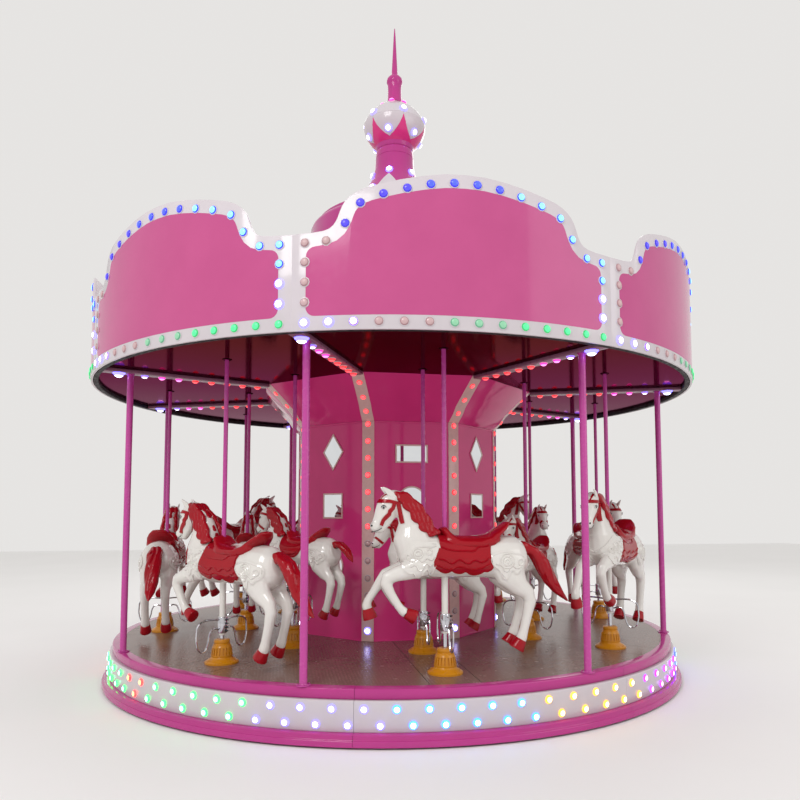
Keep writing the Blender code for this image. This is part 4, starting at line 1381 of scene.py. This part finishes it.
    def body(self) -> Piece:
        """Melt trunk, head and legs into one skin."""
        parts = [self.run("trunk", 0.0, self.TRUNK, 16), self.run("head", 0.0, self.HEAD, 14),
                 self.run("jaw", 0.0, self.JAW, 10)]
        parts += [self.run(f"leg_{index}", self.side_of(index), stations)
                  for index, stations in enumerate(self.LEGS)]
        for side in (-1, 1):
            parts.append(self.run("nostril", 0.0, self.sided(self.NOSTRIL, side), 8))
            parts.append(self.run("brow", 0.0, self.sided(self.BROW, side), 8))
        return self.melted("body", parts, self.voxel, 5)

    def ears(self) -> list[Piece]:
        """Shape the two leaf-like ears, hollowed at the front."""
        ears = []
        for side in (-1, 1):
            ear = self.run("ear", 0.0, self.sided(self.EAR, side))
            with editing(ear):
                choose(ear, lambda middle, normal: normal.y * side > 0.55 and 0.875 < middle.z < 0.920)
                bpy.ops.mesh.inset(thickness=0.004, depth=-0.004)
            ears.append(modified(ear, "SUBSURF", levels=1, render_levels=1))
        return ears

    def mane(self) -> Piece:
        """Lay wavy locks along both sides of the neck and melt them into one mane."""
        locks = []
        steps = self.mane_steps
        for side in (-1, 0, 1):
            for lock in range(1 if side == 0 else 5):
                share = lock / 4
                stations = []
                for step in range(steps + 1):
                    along = step / steps * (len(self.CREST) - 1)
                    low = min(int(along), len(self.CREST) - 2)
                    part = along - low
                    top = Vector(self.CREST[low]).lerp(Vector(self.CREST[low + 1]), part)
                    edge = Vector(self.MANE_EDGE[low]).lerp(Vector(self.MANE_EDGE[low + 1]), part)
                    wave = step * 1.35 + lock * 1.9
                    sway = 0.40 * math.sin(wave) * (0 < step < steps)
                    spot = top.lerp(edge, min(max(share + 0.30 * sway, -0.05), 1.05))
                    swell = 0.72 + 0.28 * math.sin(wave + 1.0)
                    swell *= 0.6 if step in (0, steps) else 1.0
                    across = side * (0.030 + 0.040 * step / steps + 0.022 * share)
                    stations.append((spot.x, spot.y, 0.019 * swell, 0.016 * swell + 0.006, across))
                locks.append(self.run("lock", 0.0, stations, 8))
        for side in (-1, 0, 1):
            locks.append(self.run("forelock", 0.0, self.sided(self.FORELOCK, side), 8))
        return self.melted("mane", locks, 0.0055, 1, 0.45)

    def tail(self, ring: Ring) -> Piece:
        """Twist locks round the tail's line and melt them into one tail."""
        locks = []
        path = self.TAILS[ring]
        for lock in range(5):
            stations = []
            for index, (forward, up, reach) in enumerate(path):
                turn = lock * 2 * math.pi / 5 + index * 0.5
                wide = 0.5 * reach
                ahead = 0.42 * reach * math.cos(turn)
                stations.append((forward + ahead, up + ahead * 0.6, wide, wide * 0.9,
                                 0.46 * reach * math.sin(turn)))
            locks.append(self.run("tail_lock", 0.0, stations, 8))
        return self.melted("tail", locks, 0.0065, 1, 0.5)

    def eyes(self) -> tuple[list[Piece], list[Piece]]:
        """Make the eyeballs, and the dark pupils, lids and nostrils."""
        balls, darks = [], []
        for side in (-1, 1):
            balls.append(started("eyeball", "uv_sphere", segments=16, ring_count=10, radius=0.0150,
                                 location=(-0.409, side * 0.044, 0.809)))
            darks.append(started("pupil", "uv_sphere", segments=12, ring_count=8, radius=0.0085,
                                 location=(-0.410, side * 0.0535, 0.808)))
            darks.append(rod("lid", [(x, side * y, z) for x, y, z in self.LID], 0.0024, sides=1))
            darks.append(started("nostril_hole", "uv_sphere", segments=10, ring_count=6, radius=0.0070,
                                 location=(-0.483, side * 0.035, 0.694)))
            darks.append(rod("mouth", [(x, side * y, z) for x, y, z in self.MOUTH], 0.0026, sides=1))
        return balls, darks

    def make(self, name: str, ring: Ring) -> Piece:
        """Build the horse with its paint, ready to be placed.

        Args:
            name: The pattern's name.
            ring: The ring that it rides in.

        Returns:
            The horse, about its pole's tube end.
        """
        body = self.body()
        blanket = self.relief("blanket", body, [self.BLANKETS[ring]], 0.011)
        seat = [self.run("seat", 0.0, self.SEAT, 16), self.run("flap", 0.0, self.FLAP, 16)]
        saddle = self.melted("saddle", seat, self.voxel, 4, 0.7)
        straps = self.STRAPS if ring is Ring.OUTER else (*self.STRAPS[:2], self.NOSEBAND)
        red = [blanket, saddle, self.mane(), self.tail(ring)]
        red += [self.relief("strap", body, [strap], 0.005) for strap in straps]
        red += [self.beaded("pipe", blanket, line, self.bead + 0.001) for line in self.PIPES[ring]]
        hem = [spot for spot in self.BLANKETS[ring] if spot[1] < 0.62]
        red.append(self.beaded("hem", body, hem, 0.010))
        for index, stations in enumerate(self.HOOVES):
            hoof = self.run(f"hoof_{index}", self.side_of(index), stations)
            red.append(modified(hoof, "BEVEL", width=0.003, segments=2, limit_method="ANGLE",
                                angle_limit=math.radians(50)))
        cloths = self.relief("cloth", body, self.CLOTHS, 0.0055)
        white = [self.beaded("cloth_edge", body, cloth, self.bead + 0.0035, closed=True)
                 for cloth in self.CLOTHS]
        white += [self.beaded("lace", cloths, line, self.bead) for line in self.LACE]
        for forward, up, radius in self.ROSETTES:
            ring_line = circle(radius, 8, (forward, up))
            white.append(self.beaded("rosette", cloths, ring_line, self.bead, closed=True))
        white.append(cloths)
        balls, darks = self.eyes()
        white += self.ears()
        modified(body, "DECIMATE", ratio=0.42)
        coat = modified(joined(f"{name}_coat", [*white, *balls, body]), "DECIMATE", ratio=self.keep)
        painted = modified(joined(f"{name}_red", red), "DECIMATE", ratio=self.keep)
        HORSE_GELCOAT.on(coat)
        RED_ENAMEL.on(painted)
        EYE_GLASS.on(dark := joined(f"{name}_eyes", darks))
        return joined(name, [dark, painted, coat])


@dataclass
class Poles:
    """A horse's pole: pink pole, white tube, bolted clamp, chrome rod and bent footrest."""

    tube_radius: float = 0.022
    pole_radius: float = 0.0155
    rod_radius: float = 0.0138

    CLAMP = mm((22.5, 125), (31, 124), (32, 122), (32, 18), (31, 16), (22.5, 15))
    ROUTE = mm((10, 105), (90, 112), (165, 110), (207, 85), (219, 30), (216, -30), (190, -85), (150, -88),
               (122, -40), (108, 20), (85, 48), (10, 35))

    def make(self) -> Piece:
        """Build the pole, from its tube's lower end."""
        r = self.pole_radius
        pole = PINK_POWDER.on(turned("pole", [(0.0, 2.080), (r, 2.080), (r, 0.428), (0.0, 0.428)], 20))
        tube = turned("tube", [(0.0, 0.430), (0.020, 0.430), (self.tube_radius, 0.428),
                               (self.tube_radius, 0.002), (0.020, 0.0), (0.0, 0.0)], 24)
        HORSE_GELCOAT.on(tube)
        shaft = turned("shaft", [(0.0, 0.01), (self.rod_radius, 0.01), (self.rod_radius, -0.218),
                                 (0.0, -0.220)], 20)
        CHROME.on(shaft)
        clamp = turned("clamp", self.CLAMP, 24, closed=True)
        rests = [rod("footrest", [(0.0, side * reach, height) for reach, height in self.ROUTE], 0.006)
                 for side in (-1, 1)]
        bolts = []
        for index in range(4):
            for start, reach, depth in ((0.034, 0.0085, 0.010), (0.044, 0.0048, 0.016)):
                bolts.append(hex_bolt("clamp_bolt", reach, depth, 0.001, rotation=(0, math.pi / 2, 0.5),
                                      location=(start, 0.006, 0.032 + 0.025 * index)))
        heads = DARK_STEEL.on(joined("clamp_bolts", bolts))
        fitting = CHROME.on(joined("fitting", [*rests[::-1], clamp]))
        return joined("pole", [heads, fitting, shaft, tube, pole])


@dataclass
class Horses:
    """Sixteen horses on their poles, in two rings."""

    middle: float = 0.240

    LIFTS = {Ring.OUTER: (0.012, 0.016, -0.040, 0.050, -0.015, 0.040, -0.068, -0.053),
             Ring.INNER: (-0.066, -0.058, 0.035, -0.025, 0.055, -0.045, -0.030, 0.030)}

    @staticmethod
    def stands() -> list[Stand]:
        """List where each horse stands."""
        return [Stand(ring.value[0], sector, ring.value[1]) for ring in Ring for sector in range(SECTORS)]

    def build(self) -> None:
        """Make each ring's pattern and place its copies with their poles."""
        maker = HorsePattern()
        pole = Poles().make()
        to_belly = Matrix.Translation((0, 0, maker.belly))
        for ring in Ring:
            title, radius, size = ring.value
            pattern = maker.make(f"{title}_pattern", ring)
            placed(pattern, to_belly.inverted(), Matrix.Scale(size, 4), to_belly)
            for sector, lift in enumerate(self.LIFTS[ring]):
                place = Stand(title, sector, radius).place(DECK_TOP + self.middle + lift)
                body = f"rider_{title}_{sector}"
                finished(copied(pattern, f"galloper_{title}_{sector}", place), body,
                         f"horse_{title}_{sector}", slot="horse_gelcoat")
                finished(copied(pole, f"riding_pole_{title}_{sector}", place), body,
                         f"pole_{title}_{sector}", slot="pink_paint")
            bpy.data.objects.remove(pattern)
        bpy.data.objects.remove(pole)


@dataclass
class Studio:
    """The pale floor, the soft light and the camera at the photo's place."""

    eye: tuple[float, float, float] = (-1.057, -6.500, 1.362)
    turn: tuple[float, float, float] = (94.15, 0.08, -10.597)
    lens: float = 31.47
    shift: tuple[float, float] = (-0.0139, 0.076)
    daylight: float = 0.86

    LIGHTS = (("key", (-5.5, -8.5, 8.0), 4.0, 420), ("fill", (7.0, -7.0, 5.0), 5.0, 120),
              ("back", (3.0, 8.0, 8.0), 6.0, 220))

    def build(self) -> None:
        """Lay the floor and set up the light and the camera."""
        bpy.context.scene.view_settings.view_transform = "Standard"
        self.floor()
        self.surround()
        for name, spot, size, power in self.LIGHTS:
            lamp = bpy.data.lights.new(f"{name}_light", "AREA")
            lamp.size = size
            lamp.energy = power
            aim = (Vector((0, 0, 1.8)) - Vector(spot)).to_track_quat("-Z", "Y").to_euler()
            self.hung(f"{name}_light", lamp, spot, aim)
        camera = bpy.data.cameras.new("photo_camera")
        camera.lens = self.lens
        camera.sensor_width = 36.0
        camera.shift_x, camera.shift_y = self.shift
        camera.clip_end = 200
        bpy.context.scene.camera = self.hung("photo_camera", camera, self.eye,
                                             [math.radians(angle) for angle in self.turn])

    def floor(self) -> None:
        """Lay the pale floor, with a faint unevenness in its paint."""
        floor = started("studio_floor", "plane", size=40, location=(0, 0, -0.0005))
        recipe = Recipe("studio_floor_paint")
        colour = recipe.blend("F2F1F0", "ECEBEA", recipe.noise(0.6, 3.0))
        floor.data.materials.append(recipe.shaded({"Roughness": 0.6}, {"Base Color": colour}))

    def surround(self) -> None:
        """Fill the studio with an even pale light."""
        world = bpy.data.worlds.new("studio_light")
        bpy.context.scene.world = world
        world.use_nodes = True
        light = world.node_tree.nodes["Background"].inputs
        light["Color"].default_value = linear("F6F4F2")
        light["Strength"].default_value = self.daylight

    def hung(self, name: str, thing: bpy.types.ID, spot: Point, turn: Point) -> bpy.types.Object:
        """Hang a light or a camera at a place, turned to where it looks."""
        holder = bpy.data.objects.new(name, thing)
        holder.location = spot
        holder.rotation_euler = turn
        bpy.context.scene.collection.objects.link(holder)
        return holder


def main() -> None:
    """Build every sub-assembly in order and report it."""
    logging.basicConfig(level=logging.INFO, format="%(message)s")
    STEEL_PAINT.on(frame["nodes"]["base_frame"])
    horses = Horses()
    stands = horses.stands()
    steps: list[tuple[str, Callable[[], None]]] = [
        ("studio", Studio().build), ("skirt", Skirt().build), ("floor", lambda: Deck().build(stands)),
        ("posts", Posts().build), ("column", Column().build), ("canopy", lambda: Canopy().build(stands)),
        ("rounding boards", RoundingBoards().build), ("roof", Roof().build), ("tower", Tower().build),
        ("horses", horses.build)]
    for title, build in steps:
        before = set(bpy.data.objects)
        build()
        made = [thing for thing in bpy.data.objects if thing not in before and thing.type == "MESH"]
        faces = sum(len(thing.data.polygons) for thing in made)
        LOG.info("%s: %d pieces, %d faces", title, len(made), faces)


if __name__ == "__main__":
    main()
